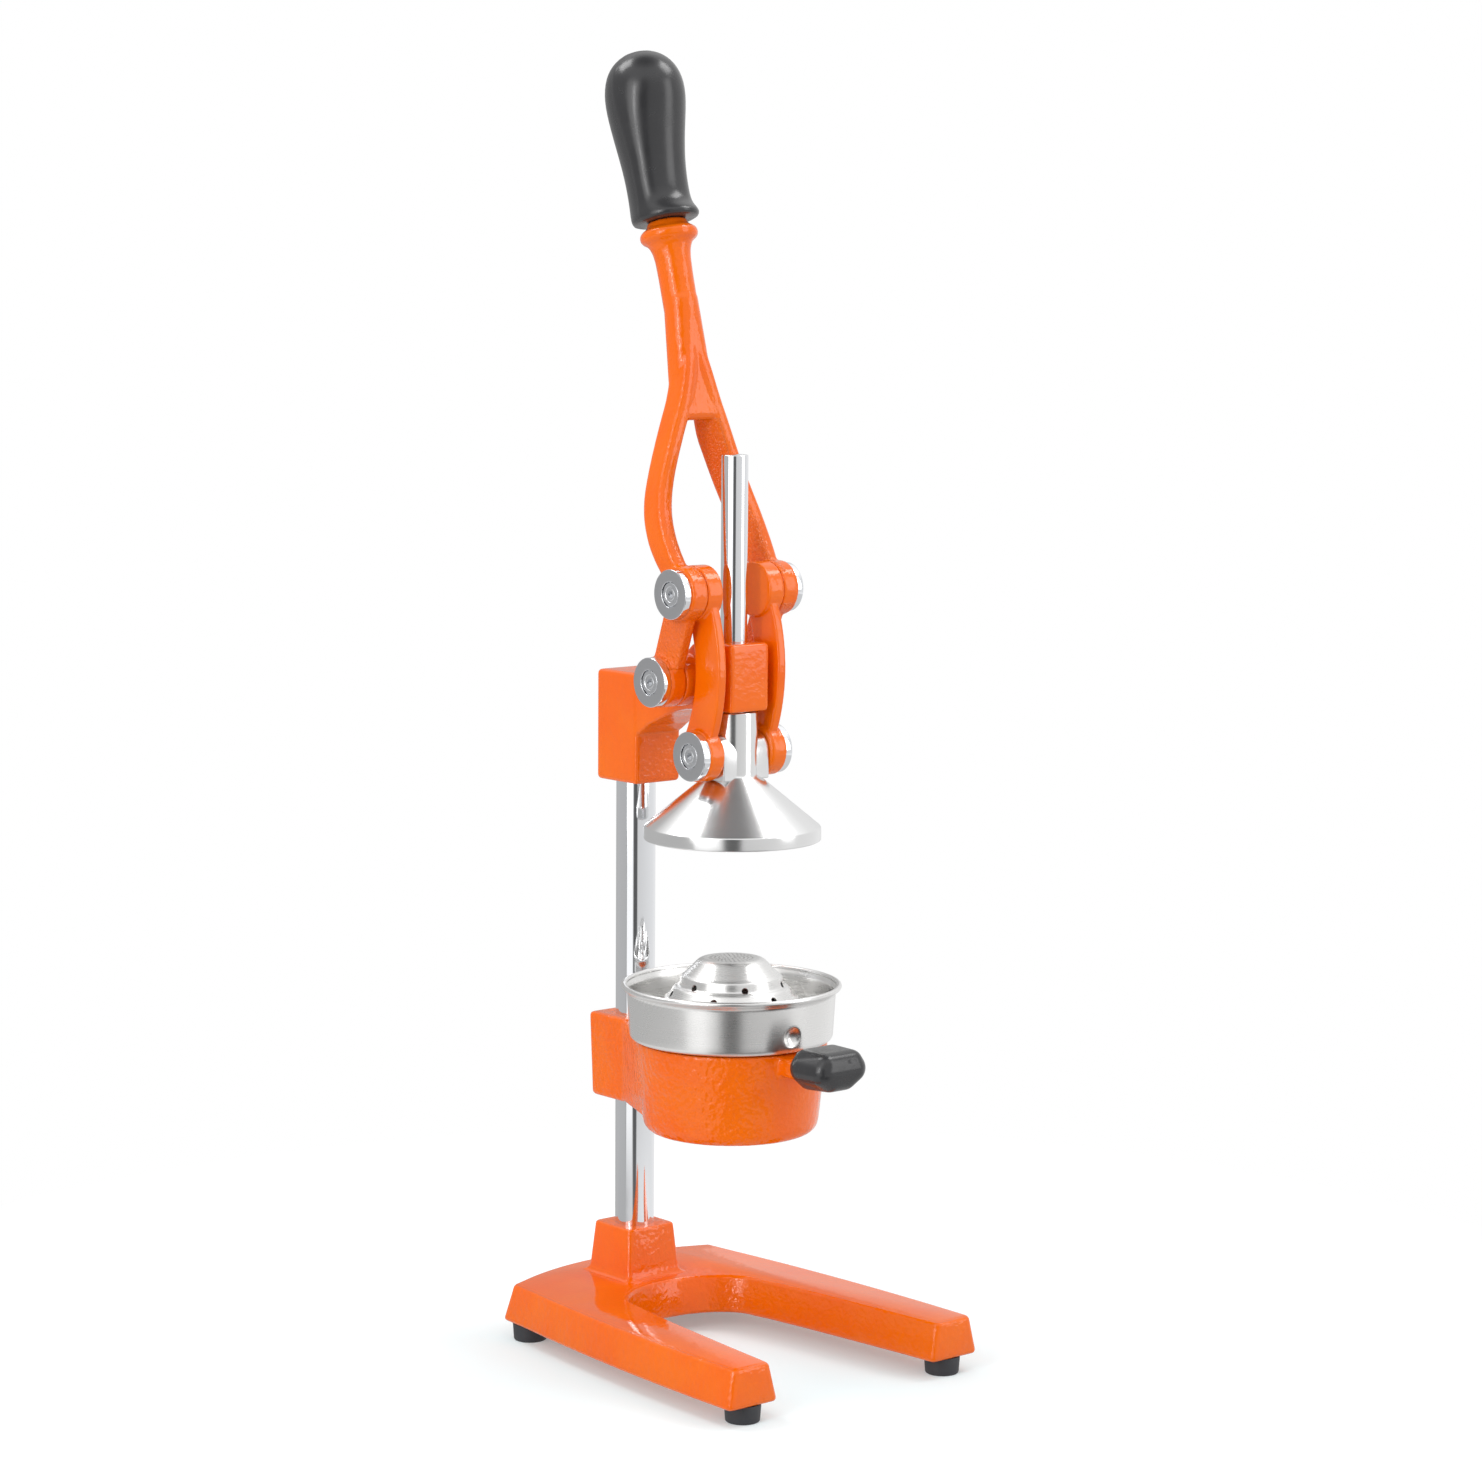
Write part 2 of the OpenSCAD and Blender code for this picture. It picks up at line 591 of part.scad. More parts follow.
module lever_casting() color(ORANGE) difference() {
    union() {
        stem_solid();
        // crotch, where the stem parts into the fork
        hull() {
            translate([0, column_y - 40.9, 590]) sphere(d = 20.4, $fn = hull_fn);
            for (side = [-1, 1]) translate([side * 5.5, column_y - 50.2, 541])
                scale([0.72, 1, 1]) sphere(d = 16.4, $fn = hull_fn);
        }
        half_lever();
        left_side() half_lever();
    }
    for (side = [0, 1]) mirror([side, 0, 0]) {
        x_rod(20, 45, pin_d, P2);
        x_rod(20, 45, pin_d + 2 * run_gap, P1);
    }
    at_collar() translate([0, 0, -16]) cylinder(d = lever_stud_d, h = 30);
}

lever_stud_d = 10;

module lever_stud() color(STEEL) at_collar() translate([0, 0, -16]) cylinder(d = lever_stud_d, h = 64);

module grip_insert() color(BRASS) at_collar() translate([0, 0, grip_seat + 4]) difference() {
    cylinder(d = 14, h = 34);
    translate([0, 0, -1]) cylinder(d = lever_stud_d, h = 60);
}

// grip, in the collar's frame: [height, half width, front, back]
grip_sections = [
    [0, 17.8, 19.4, 20.6], [2.5, 18.6, 20.5, 21.2], [6, 18.2, 17, 21.8], [11.5, 17.5, 12.6, 22.1],
    [24.5, 17.5, 12.2, 22.2], [35.5, 18, 13.5, 23.2], [44.5, 19.2, 15, 24],
    [53.5, 20.6, 17.2, 24.6], [62, 22, 19.8, 24.8], [72, 22.9, 22.2, 24.6], [80, 22.2, 22.4, 23.2],
    [87, 19.8, 20, 20.6], [92.5, 15.6, 15.8, 16.4], [96, 10.8, 10.8, 11.4], [98, 4.8, 4.8, 5]];

module lever_grip() color(BLACK) difference() {
    at_collar() translate([0, 0, grip_seat]) loft([for (s = grip_sections)
        [for (i = [0 : 47]) let (a = 360 * i / 48, reach = sin(a) < 0 ? s[2] : s[3])
            [s[1] * cos(a), reach * sin(a), s[0]]]]);
    at_collar() cylinder(d = lever_stud_d, h = 48);
    at_collar() translate([0, 0, grip_seat + 4]) cylinder(d = 14, h = 34);
}

// links ----------------------------------------------------------------------------

link_bow_r = 99.5;                   // radius of the shank's front edge
link_bow_c = [column_y - 4.4, 396];
link_w = 21;
link_head_d = 31;
link_eye_d = 29.4;
eye_chamfer = 1.5;                   // keeps the eye's inner edge off the cone's slope

module shank_outline() intersection() {
    translate(link_bow_c) difference() {
        circle(r = link_bow_r, $fn = 180);
        circle(r = link_bow_r - link_w, $fn = 180);
    }
    translate([P2[0] - 40, P3[1] + 1]) square([60, P2[1] - P3[1] - 2]);
}

module link_right() color(ORANGE) difference() {
    union() {
        x_plate(shank_x0, shank_x1) shank_outline();
        x_rod(eye_x0, link_x1, link_head_d, P2);
        x_rod(eye_x0 + eye_chamfer, link_x1, link_eye_d, P3);
        translate([eye_x0, P3[0], P3[1]]) rotate([0, 90, 0])
            cylinder(d1 = link_eye_d - 2 * eye_chamfer, d2 = link_eye_d, h = eye_chamfer);
    }
    x_rod(crank_pin_x0 - part_gap, 40, pin_d + 2 * run_gap, P2);
    x_rod(0, 40, pin_d, P3);
}
module link_left() left_side() link_right();

// plunger --------------------------------------------------------------------------

cone_rim_z = 300.1;
cone_band = 7.2;                     // height of the upright band at the rim
cone_neck_z = 337;                   // where the cone meets its hub
hub_d = 28;
hub_top_z = guide_bottom_z - part_gap;
cone_wall = 3.5;
lug_d = 24;
rod_foot_z = 335;                    // lower end of the rod, in the hub

module cone_profile() polygon([
    [cone_d / 2, cone_rim_z], [cone_d / 2, cone_rim_z + cone_band], [hub_d / 2, cone_neck_z],
    [hub_d / 2, hub_top_z - 1], [hub_d / 2 - 1, hub_top_z], [0, hub_top_z],
    [0, cone_neck_z - 7], [hub_d / 2 - 2, cone_neck_z - 7],
    [cone_d / 2 - cone_wall, cone_rim_z + cone_band - 2], [cone_d / 2 - cone_wall, cone_rim_z]]);

module press_cone() color(ALUMINIUM) difference() {
    union() {
        translate([0, press_y, 0]) rotate_extrude() cone_profile();
        // lugs that the links push on
        for (side = [0, 1]) mirror([side, 0, 0]) {
            x_rod(0, lug_x, lug_d, P3);
            translate([0, press_y - lug_d / 2, cone_neck_z - 3])
                cube([lug_x, lug_d, P3[1] - cone_neck_z + 3]);
        }
    }
    translate([0, press_y, rod_foot_z]) cylinder(d = rod_d, h = 60);
    translate([0, press_y, cone_neck_z - 10]) cylinder(d = 8, h = 12);
    translate([0, press_y, cone_neck_z - 22]) cylinder(d = 17, h = 15.2);
}

module plunger_rod() color(CHROME) translate([0, press_y, 0]) difference() {
    union() {
        translate([0, 0, rod_foot_z]) cylinder(d = rod_d, h = rod_top_z - rod_foot_z - 0.8);
        translate([0, 0, rod_top_z - 0.8]) cylinder(d1 = rod_d, d2 = rod_d - 1.6, h = 0.8);
    }
    translate([0, 0, rod_foot_z - 1]) cylinder(d = 8, h = 24);
}

module cone_washer() color(STEEL) translate([0, press_y, cone_neck_z - 8.5]) difference() {
    cylinder(d = 16, h = 1.7);
    translate([0, 0, -1]) cylinder(d = 8.4, h = 4);
}

module cone_screw() color(STEEL) translate([0, press_y, cone_neck_z - 8.5]) difference() {
    union() {
        translate([0, 0, -6]) cylinder(d = 13, h = 6);
        cylinder(d = 8, h = 26);
    }
    translate([0, 0, -7]) cylinder(d = 6, h = 4, $fn = 6);
}

base_casting();
foot_front_left();
foot_front_right();
foot_rear_left();
foot_rear_right();
foot_screws();
column();
column_bolt();
column_washer();
pot_carrier();
carrier_set_screws();
pot_grip();
pot_grip_stud();
juice_bowl();
strainer();
head_bracket();
head_set_screws();
guide_bush_upper();
guide_bush_lower();
pivot_pin();
pivot_cap_left();
pivot_cap_right();
pivot_screws();
lever_casting();
lever_stud();
grip_insert();
lever_grip();
crank_pin_left();
crank_pin_right();
crank_cap_left();
crank_cap_right();
crank_screws();
link_left();
link_right();
cone_pin_left();
cone_pin_right();
cone_cap_left();
cone_cap_right();
cone_screw_left();
cone_screw_right();
plunger_rod();
press_cone();
cone_washer();
cone_screw();
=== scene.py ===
# %% [markdown]
# # A lever citrus juice press
# The press is a stand of enamelled castings and a chrome column, with a forked lever that
# drives an aluminium cone down over a strainer. The drawing of every piece comes from the
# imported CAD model, which this script loads first and never changes. Each visible piece is
# then modelled again with rounded edges and a proper finish, in the place the drawing gives.

# %% Load the frame
import json
import math
import bpy
import numpy as np
from mathutils import Matrix, Vector


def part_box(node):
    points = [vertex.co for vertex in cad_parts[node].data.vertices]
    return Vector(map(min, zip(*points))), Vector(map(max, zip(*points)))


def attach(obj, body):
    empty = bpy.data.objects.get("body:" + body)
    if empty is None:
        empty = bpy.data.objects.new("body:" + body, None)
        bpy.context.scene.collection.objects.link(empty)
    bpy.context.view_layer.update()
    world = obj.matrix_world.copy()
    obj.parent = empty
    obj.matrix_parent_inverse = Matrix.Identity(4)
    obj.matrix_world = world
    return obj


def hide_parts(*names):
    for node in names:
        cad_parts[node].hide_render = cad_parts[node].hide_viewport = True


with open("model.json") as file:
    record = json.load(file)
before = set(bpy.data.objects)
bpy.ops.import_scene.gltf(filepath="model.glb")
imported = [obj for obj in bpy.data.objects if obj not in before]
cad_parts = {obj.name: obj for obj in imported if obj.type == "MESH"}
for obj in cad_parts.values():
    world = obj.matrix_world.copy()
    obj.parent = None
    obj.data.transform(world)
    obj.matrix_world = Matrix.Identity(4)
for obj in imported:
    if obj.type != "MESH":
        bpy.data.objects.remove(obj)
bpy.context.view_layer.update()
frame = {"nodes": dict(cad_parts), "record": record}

print("CAD nodes:", len(frame["nodes"]))

# %% [markdown]
# The axes that everything hangs on are read from the drawing: the column, the rod, and the
# three pivots of the linkage. Sizes below are in millimetres, and `MM` turns them to metres.

# %% Axes of the press
MM = 0.001


def middle(node):
    """The middle of a CAD node's box."""
    low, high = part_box(node)
    return (low + high) / 2


column_y = middle("column").y / MM
press_y = middle("plunger_rod").y / MM
pivot_y, pivot_z = middle("pivot_pin").y / MM, middle("pivot_pin").z / MM
crank_y, crank_z = middle("crank_pin_left").y / MM, middle("crank_pin_left").z / MM
lower_y, lower_z = middle("cone_pin_left").y / MM, middle("cone_pin_left").z / MM
base_front, base_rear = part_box("base_casting")[0].y / MM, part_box("base_casting")[1].y / MM
base_half_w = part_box("base_casting")[1].x / MM
print(f"column y {column_y:.1f}, rod y {press_y:.1f}, pivot {pivot_y:.1f}, {pivot_z:.1f}")

# %% [markdown]
# ## Helpers
# Three ways of making a solid cover most of the press. A *lathe* turns half a cross-section
# round an axis, as the real bowl and caps are turned. A *loft* starts from one ring of
# points and extrudes it ring by ring, which suits castings with draft. *Cast together*
# joins overlapping solids and remeshes them, so that the joints get the soft fillets that
# sand casting leaves.

# %% Selecting and turning helpers
def deselect():
    """Nothing selected, in object mode."""
    if bpy.context.object and bpy.context.object.mode != "OBJECT":
        bpy.ops.object.mode_set(mode="OBJECT")
    bpy.ops.object.select_all(action="DESELECT")


def pick(obj):
    """Make one object the selected and active one."""
    deselect()
    obj.select_set(True)
    bpy.context.view_layer.objects.active = obj
    return obj


def apply_place(obj):
    """Move an object's place, turn and scale into its mesh."""
    pick(obj)
    bpy.ops.object.transform_apply(location=True, rotation=True, scale=True)
    return obj


def outward(obj):
    """Merge doubled points and point every face outwards."""
    pick(obj)
    bpy.ops.object.mode_set(mode="EDIT")
    bpy.ops.mesh.select_all(action="SELECT")
    bpy.ops.mesh.remove_doubles(threshold=1e-6)
    bpy.ops.mesh.normals_make_consistent(inside=False)
    bpy.ops.object.mode_set(mode="OBJECT")
    return obj


def modify(obj, kind, **values):
    """Add one modifier, set its values and apply it."""
    pick(obj)
    modifier = obj.modifiers.new(kind.title(), kind)
    for key, value in values.items():
        setattr(modifier, key, value)
    bpy.ops.object.modifier_apply(modifier=modifier.name)
    return obj


print("selection helpers ready")


# %% Lathe, loft and block
def lathe(profile, steps=128, closed=False):
    """Turn (radius, height) points in mm round the Z axis at the origin."""
    deselect()
    bpy.ops.mesh.primitive_circle_add(vertices=len(profile), radius=0.01)
    obj = bpy.context.object
    for vertex, (radius, height) in zip(obj.data.vertices, profile):
        vertex.co = (radius * MM, 0, height * MM)
        vertex.select = False
    last = {0, len(profile) - 1}
    for edge in obj.data.edges:
        edge.select = not closed and set(edge.vertices) == last
    bpy.ops.object.mode_set(mode="EDIT")
    bpy.ops.mesh.select_mode(type="EDGE")
    if not closed:
        bpy.ops.mesh.delete(type="EDGE_FACE")
    bpy.ops.mesh.select_mode(type="VERT")
    bpy.ops.mesh.select_all(action="SELECT")
    bpy.ops.mesh.spin(steps=steps, angle=2 * math.pi, center=(0, 0, 0), axis=(0, 0, 1))
    bpy.ops.object.mode_set(mode="OBJECT")
    return outward(obj)


def loft(rings):
    """Extrude one ring of points (mm) into the next, closed at both ends."""
    deselect()
    bpy.ops.mesh.primitive_circle_add(vertices=len(rings[0]), radius=0.01, fill_type="NGON")
    obj = bpy.context.object
    mesh = obj.data
    for vertex, point in zip(mesh.vertices, rings[0]):
        vertex.co = Vector(point) * MM
    for before, ring in zip(rings, rings[1:]):
        bpy.ops.object.mode_set(mode="EDIT")
        bpy.ops.mesh.extrude_region_move()
        bpy.ops.object.mode_set(mode="OBJECT")
        places = np.array(before) * MM
        for vertex in [v for v in mesh.vertices if v.select]:
            nearest = int(np.argmin(((places - np.array(vertex.co)) ** 2).sum(1)))
            vertex.co = Vector(ring[nearest]) * MM
    return outward(obj)


def put(obj, x, y, z, turn=(0, 0, 0)):
    """Turn a solid drawn at the origin (degrees) and move it to a point (mm)."""
    obj.rotation_euler = [math.radians(angle) for angle in turn]
    obj.location = Vector((x, y, z)) * MM
    return apply_place(obj)


def block(low, high, edge, segments=4):
    """A box between two corners (mm) with rounded edges."""
    deselect()
    low, high = Vector(low) * MM, Vector(high) * MM
    bpy.ops.mesh.primitive_cube_add(size=1, location=(low + high) / 2, scale=high - low)
    obj = apply_place(bpy.context.object)
    return modify(obj, "BEVEL", width=edge * MM, segments=segments)


print("lathe, loft and block ready")


# %% Rounding a cross-section
def arc(centre, radius, start, end, steps):
    """Points of a circle's arc, angles in degrees."""
    angles = [math.radians(start + (end - start) * i / steps) for i in range(steps + 1)]
    return [(centre[0] + radius * math.cos(a), centre[1] + radius * math.sin(a)) for a in angles]


def rounded(points, radius, steps=4, closed=False):
    """Round the inner corners of a line of 2-D points. radius is one number or one a point."""
    count = len(points)
    radii = radius if isinstance(radius, (list, tuple)) else [radius] * count
    out = []
    for i, point in enumerate(points):
        at = Vector(point)
        if radii[i] == 0 or (not closed and i in (0, count - 1)):
            out.append(tuple(at))
            continue
        to_a = Vector(points[i - 1]) - at
        to_b = Vector(points[(i + 1) % count]) - at
        reach = min(radii[i], 0.49 * to_a.length, 0.49 * to_b.length)
        a, b = at + to_a.normalized() * reach, at + to_b.normalized() * reach
        for k in range(steps + 1):
            t = k / steps
            out.append(tuple((1 - t) ** 2 * a + 2 * t * (1 - t) * at + t * t * b))
    return out


def fine_line(a, b, step):
    """Points from a towards b that lie no further apart than step."""
    count = max(1, math.ceil(math.dist(a, b) / step))
    return [(a[0] + (b[0] - a[0]) * i / count, a[1] + (b[1] - a[1]) * i / count)
            for i in range(count)]


def rounded_rect(half_w, half_d, radius, steps=4):
    """Corner points of a rounded rectangle about the origin, counter-clockwise."""
    out = []
    for quarter in range(4):
        sx = 1 if quarter in (0, 3) else -1
        sy = 1 if quarter < 2 else -1
        centre = (sx * (half_w - radius), sy * (half_d - radius))
        out += arc(centre, radius, 90 * quarter, 90 * quarter + 90, steps)
    return out


print("a rounded square of 4 corners has", len(rounded_rect(10, 10, 3)), "points")


# %% Joining and cutting
def join(*parts):
    """Several objects as one, which keeps the first one's name."""
    pick(parts[0])
    for part in parts:
        part.select_set(True)
    bpy.ops.object.join()
    return parts[0]


def cast_together(parts, voxel, smooth):
    """Overlapping solids become one skin, with the fillets of a casting."""
    obj = join(*parts)
    modify(obj, "REMESH", mode="VOXEL", voxel_size=voxel * MM)
    return modify(obj, "SMOOTH", factor=0.5, iterations=smooth)


def cut(obj, *cutters):
    """Take each cutter's volume out of obj."""
    for cutter in cutters:
        modify(obj, "BOOLEAN", operation="DIFFERENCE", object=cutter, solver="EXACT")
        bpy.data.objects.remove(cutter)
    return obj


def soften(obj, width, segments=3):
    """Bevel the sharp edges by a width in mm."""
    return modify(obj, "BEVEL", width=width * MM, segments=segments, limit_method="ANGLE",
                  angle_limit=0.9)


def copy_of(obj):
    """A copy with its own mesh."""
    pick(obj)
    bpy.ops.object.duplicate(linked=False)
    return bpy.context.object


def mirrored(obj):
    """A mirror twin across the middle plane."""
    twin = copy_of(obj)
    twin.scale = (-1, 1, 1)
    apply_place(twin)
    return outward(twin)


print("joining and cutting helpers ready")


# %% Bars and wrapped balls
def bar(length, radius, edge=0.6, steps=64):
    """A round bar that stands on the origin, its edges softened."""
    return lathe(rounded([(0, 0), (radius, 0), (radius, length), (0, length)], edge), steps)


def along_x(obj, x, y, z, side=1):
    """Turn a lathe from the Z axis to the X axis and put it at a point (mm)."""
    return put(obj, x, y, z, (0, side * 90, 0))


def rod_x(x0, x1, radius, y, z, steps=64):
    """A plain rod along X, used as a cutter or a boss."""
    return along_x(bar(x1 - x0, radius, steps=steps), x0, y, z)


def rear_drill(y0, y1, radius, z):
    """A rod along Y in the middle plane, which drills a hole from behind."""
    return put(bar(y1 - y0, radius, 0.3, 48), 0, y0, z, (-90, 0, 0))


def ball(x, y, z, radius):
    """A sphere at a point (mm)."""
    deselect()
    bpy.ops.mesh.primitive_uv_sphere_add(segments=40, ring_count=24, radius=radius * MM,
                                         location=(x * MM, y * MM, z * MM))
    return apply_place(bpy.context.object)


def wrapped(solids):
    """One convex skin, as if a sheet were pulled tight round the solids."""
    obj = join(*solids)
    bpy.ops.object.mode_set(mode="EDIT")
    bpy.ops.mesh.select_all(action="SELECT")
    bpy.ops.mesh.convex_hull()
    bpy.ops.object.mode_set(mode="OBJECT")
    return obj


print("bars and balls ready")

# %% [markdown]
# ## Finishes
# The looks come from node materials. An effect that several finishes share is a node group
# that gives out a value or a height, and the shader itself stays in each material. Patterns
# read Object coordinates, so they stay put when a piece moves.

# %% Small node helpers
def new_group(name, inputs, outputs):
    """An empty shader node group with named sockets; returns group, its in and out nodes."""
    group = bpy.data.node_groups.new(name, "ShaderNodeTree")
    for label, kind, value in inputs:
        socket = group.interface.new_socket(label, in_out="INPUT", socket_type=kind)
        if value is not None:
            socket.default_value = value
    for label, kind in outputs:
        group.interface.new_socket(label, in_out="OUTPUT", socket_type=kind)
    return group, group.nodes.new("NodeGroupInput"), group.nodes.new("NodeGroupOutput")


def add(tree, kind, links=None, **values):
    """Add a node, set its values and link its inputs."""
    node = tree.nodes.new(kind)
    for key, value in values.items():
        setattr(node, key, value)
    for key, source in (links or {}).items():
        if hasattr(source, "is_output"):
            tree.links.new(source, node.inputs[key])
        else:
            node.inputs[key].default_value = source
    return node


def maths(tree, operation, a, b=0.0, c=0.0):
    """A sum on one, two or three values."""
    return add(tree, "ShaderNodeMath", {0: a, 1: b, 2: c}, operation=operation).outputs[0]


def noise(tree, vector, scale, detail, roughness=0.5):
    """A soft random pattern from 0 to 1. scale is its lumps in a metre."""
    return add(tree, "ShaderNodeTexNoise", {"Vector": vector, "Scale": scale,
               "Detail": detail, "Roughness": roughness}).outputs[0]


print("node helpers ready")

# %% [markdown]
# Enamel on a sand casting is smooth and glassy, but it follows the skin of the metal below:
# long soft waves everywhere, and a grainy skin where the mould was rough. The group below
# gives both as one height. `Sand` says where the rough skin is.

# %% Group: cast skin
cast_skin, gin, gout = new_group(
    "cast_skin",
    [("Vector", "NodeSocketVector", None), ("Waves", "NodeSocketFloat", 1.0),
     ("Sand", "NodeSocketFloat", 0.0)],
    [("Height", "NodeSocketFloat"), ("Grain", "NodeSocketFloat")])
waves = noise(cast_skin, gin.outputs["Vector"], 330, 1.5, 0.4)
swell = noise(cast_skin, gin.outputs["Vector"], 60, 1)
sand = noise(cast_skin, gin.outputs["Vector"], 540, 2.5, 0.6)
soft = maths(cast_skin, "MULTIPLY_ADD", swell, 1.6, waves)
soft = maths(cast_skin, "MULTIPLY", soft, gin.outputs["Waves"])
rough = maths(cast_skin, "MULTIPLY", sand, gin.outputs["Sand"])
height = maths(cast_skin, "MULTIPLY_ADD", rough, 2.6, soft)
cast_skin.links.new(height, gout.inputs["Height"])
cast_skin.links.new(rough, gout.inputs["Grain"])
print("group cast_skin:", len(cast_skin.nodes), "nodes")

# %% [markdown]
# Turned and spun metal carries fine rings round its axis. The rings depend on the distance
# from the axis and on the height, and hardly on the angle, so the group measures those two
# and feeds them to a noise texture.

# %% Group: turned rings
turned_rings, gin, gout = new_group(
    "turned_rings",
    [("Vector", "NodeSocketVector", None), ("Density", "NodeSocketFloat", 2400.0)],
    [("Lines", "NodeSocketFloat"), ("Cloud", "NodeSocketFloat")])
split = add(turned_rings, "ShaderNodeSeparateXYZ", {0: gin.outputs["Vector"]})
squared = maths(turned_rings, "MULTIPLY", split.outputs[0], split.outputs[0])
squared = maths(turned_rings, "MULTIPLY_ADD", split.outputs[1], split.outputs[1], squared)
radius = maths(turned_rings, "SQRT", squared)
rings = add(turned_rings, "ShaderNodeCombineXYZ", {0: radius, 1: split.outputs[2]})
lines = noise(turned_rings, rings.outputs[0], gin.outputs["Density"], 3, 0.7)
cloud = noise(turned_rings, gin.outputs["Vector"], 90, 2)
turned_rings.links.new(lines, gout.inputs["Lines"])
turned_rings.links.new(cloud, gout.inputs["Cloud"])
print("group turned_rings:", len(turned_rings.nodes), "nodes")

# %% [markdown]
# Moulded plastic and rubber have a fine, even grain from the mould, with faint scuffs.

# %% Group: moulded grain
moulded, gin, gout = new_group(
    "moulded_grain",
    [("Vector", "NodeSocketVector", None), ("Scale", "NodeSocketFloat", 1500.0)],
    [("Height", "NodeSocketFloat"), ("Scuffs", "NodeSocketFloat")])
grain = noise(moulded, gin.outputs["Vector"], gin.outputs["Scale"], 2)
scuffs = noise(moulded, gin.outputs["Vector"], 75, 4, 0.6)
moulded.links.new(grain, gout.inputs["Height"])
moulded.links.new(scuffs, gout.inputs["Scuffs"])
print("group moulded_grain:", len(moulded.nodes), "nodes")


# %% Material starter
def material(name, colour, metallic, roughness, **sockets):
    """A new material with a Principled shader; returns material, tree, shader, coordinates."""
    made = bpy.data.materials.new(name)
    made.use_nodes = True
    made.diffuse_color = (*colour, 1)
    tree = made.node_tree
    shader = tree.nodes["Principled BSDF"]
    shader.inputs["Base Color"].default_value = (*colour, 1)
    shader.inputs["Metallic"].default_value = metallic
    shader.inputs["Roughness"].default_value = roughness
    for key, value in sockets.items():
        label = key.replace("_", " ").title().replace("Ior", "IOR")
        shader.inputs[label].default_value = value
    place = tree.nodes.new("ShaderNodeTexCoord")
    return made, tree, shader, place.outputs["Object"]


def use_group(tree, group, **inputs):
    """Place a node group and feed its inputs."""
    return add(tree, "ShaderNodeGroup", inputs, node_tree=group)


def bump(tree, shader, height, distance, strength):
    """Let a height tilt the surface. distance is the relief in metres."""
    node = add(tree, "ShaderNodeBump", {"Height": height, "Strength": strength,
               "Distance": distance})
    tree.links.new(node.outputs[0], shader.inputs["Normal"])


def spread(tree, value, low, high, to_low, to_high):
    """Map a value's range to another range."""
    node = add(tree, "ShaderNodeMapRange", {0: value, 1: low, 2: high, 3: to_low, 4: to_high})
    return node.outputs[0]


def rough_by(tree, shader, pattern, low, high, start=0.3, end=0.7):
    """Let a pattern move the roughness between two values."""
    tree.links.new(spread(tree, pattern, start, end, low, high), shader.inputs["Roughness"])


def two_colours(tree, shader, factor, first, second):
    """Let a factor move the colour between two."""
    node = add(tree, "ShaderNodeMix", {0: factor, 6: (*first, 1), 7: (*second, 1)},
               data_type="RGBA")
    tree.links.new(node.outputs[2], shader.inputs["Base Color"])


print("material helpers ready")

# %% [markdown]
# ### Orange enamel
# The enamel is a strong orange with one glassy skin, smooth enough to mirror the room. The
# colour drifts very slightly from place to place. How wavy and how coarse the casting skin
# is comes from the `ripple` and `sand` attributes that each casting carries.

# %% Orange enamel
ENAMEL = (0.86, 0.148, 0.001)
ENAMEL_DEEP = (0.85, 0.126, 0.001)
enamel, tree, shader, place = material("orange_enamel", ENAMEL, 0.0, 0.06,
                                       specular_ior_level=0.42)
rough_skin = add(tree, "ShaderNodeAttribute", attribute_name="sand")
wavy_skin = add(tree, "ShaderNodeAttribute", attribute_name="ripple")
skin = use_group(tree, cast_skin, Vector=place, Waves=wavy_skin.outputs["Fac"],
                 Sand=rough_skin.outputs["Fac"])
bump(tree, shader, skin.outputs["Height"], 0.0011, 0.6)
drift = spread(tree, noise(tree, place, 30, 2), 0.35, 0.65, 0, 1)
two_colours(tree, shader, drift, ENAMEL, ENAMEL_DEEP)
rough_by(tree, shader, skin.outputs["Grain"], 0.035, 0.22, 0, 0.6)
print("orange enamel ready")

# %% [markdown]
# ### Bare metals
# The column and the rod are hard chrome, nearly a mirror. The pin caps have a satin face.
# The bowl and strainer are spun stainless steel and the cone is turned aluminium, both with
# fine rings.

# %% Chrome and steel
def worn_metal(name, colour, metallic, low, high, scale, detail, relief=0.0):
    """Metal whose roughness drifts between two values, with a fine relief if it has one."""
    made, tree, shader, place = material(name, colour, metallic, (low + high) / 2)
    marks = noise(tree, place, scale, detail)
    rough_by(tree, shader, marks, low, high)
    if relief:
        bump(tree, shader, marks, relief, 0.4)
    return made


chrome = worn_metal("chrome", (0.80, 0.81, 0.83), 1.0, 0.035, 0.10, 160, 3)
satin = worn_metal("satin_cap", (0.50, 0.505, 0.52), 1.0, 0.28, 0.42, 900, 2, relief=0.00004)
steel = worn_metal("machined_steel", (0.60, 0.61, 0.63), 1.0, 0.18, 0.34, 700, 3)
black_steel = worn_metal("black_steel", (0.045, 0.045, 0.05), 0.7, 0.32, 0.5, 500, 2)
brass, tree, shader, place = material("brass", (0.60, 0.42, 0.15), 1.0, 0.28)
two_colours(tree, shader, noise(tree, place, 120, 3), (0.62, 0.44, 0.16), (0.48, 0.33, 0.12))
print("chrome, satin, steel, black steel and brass ready")


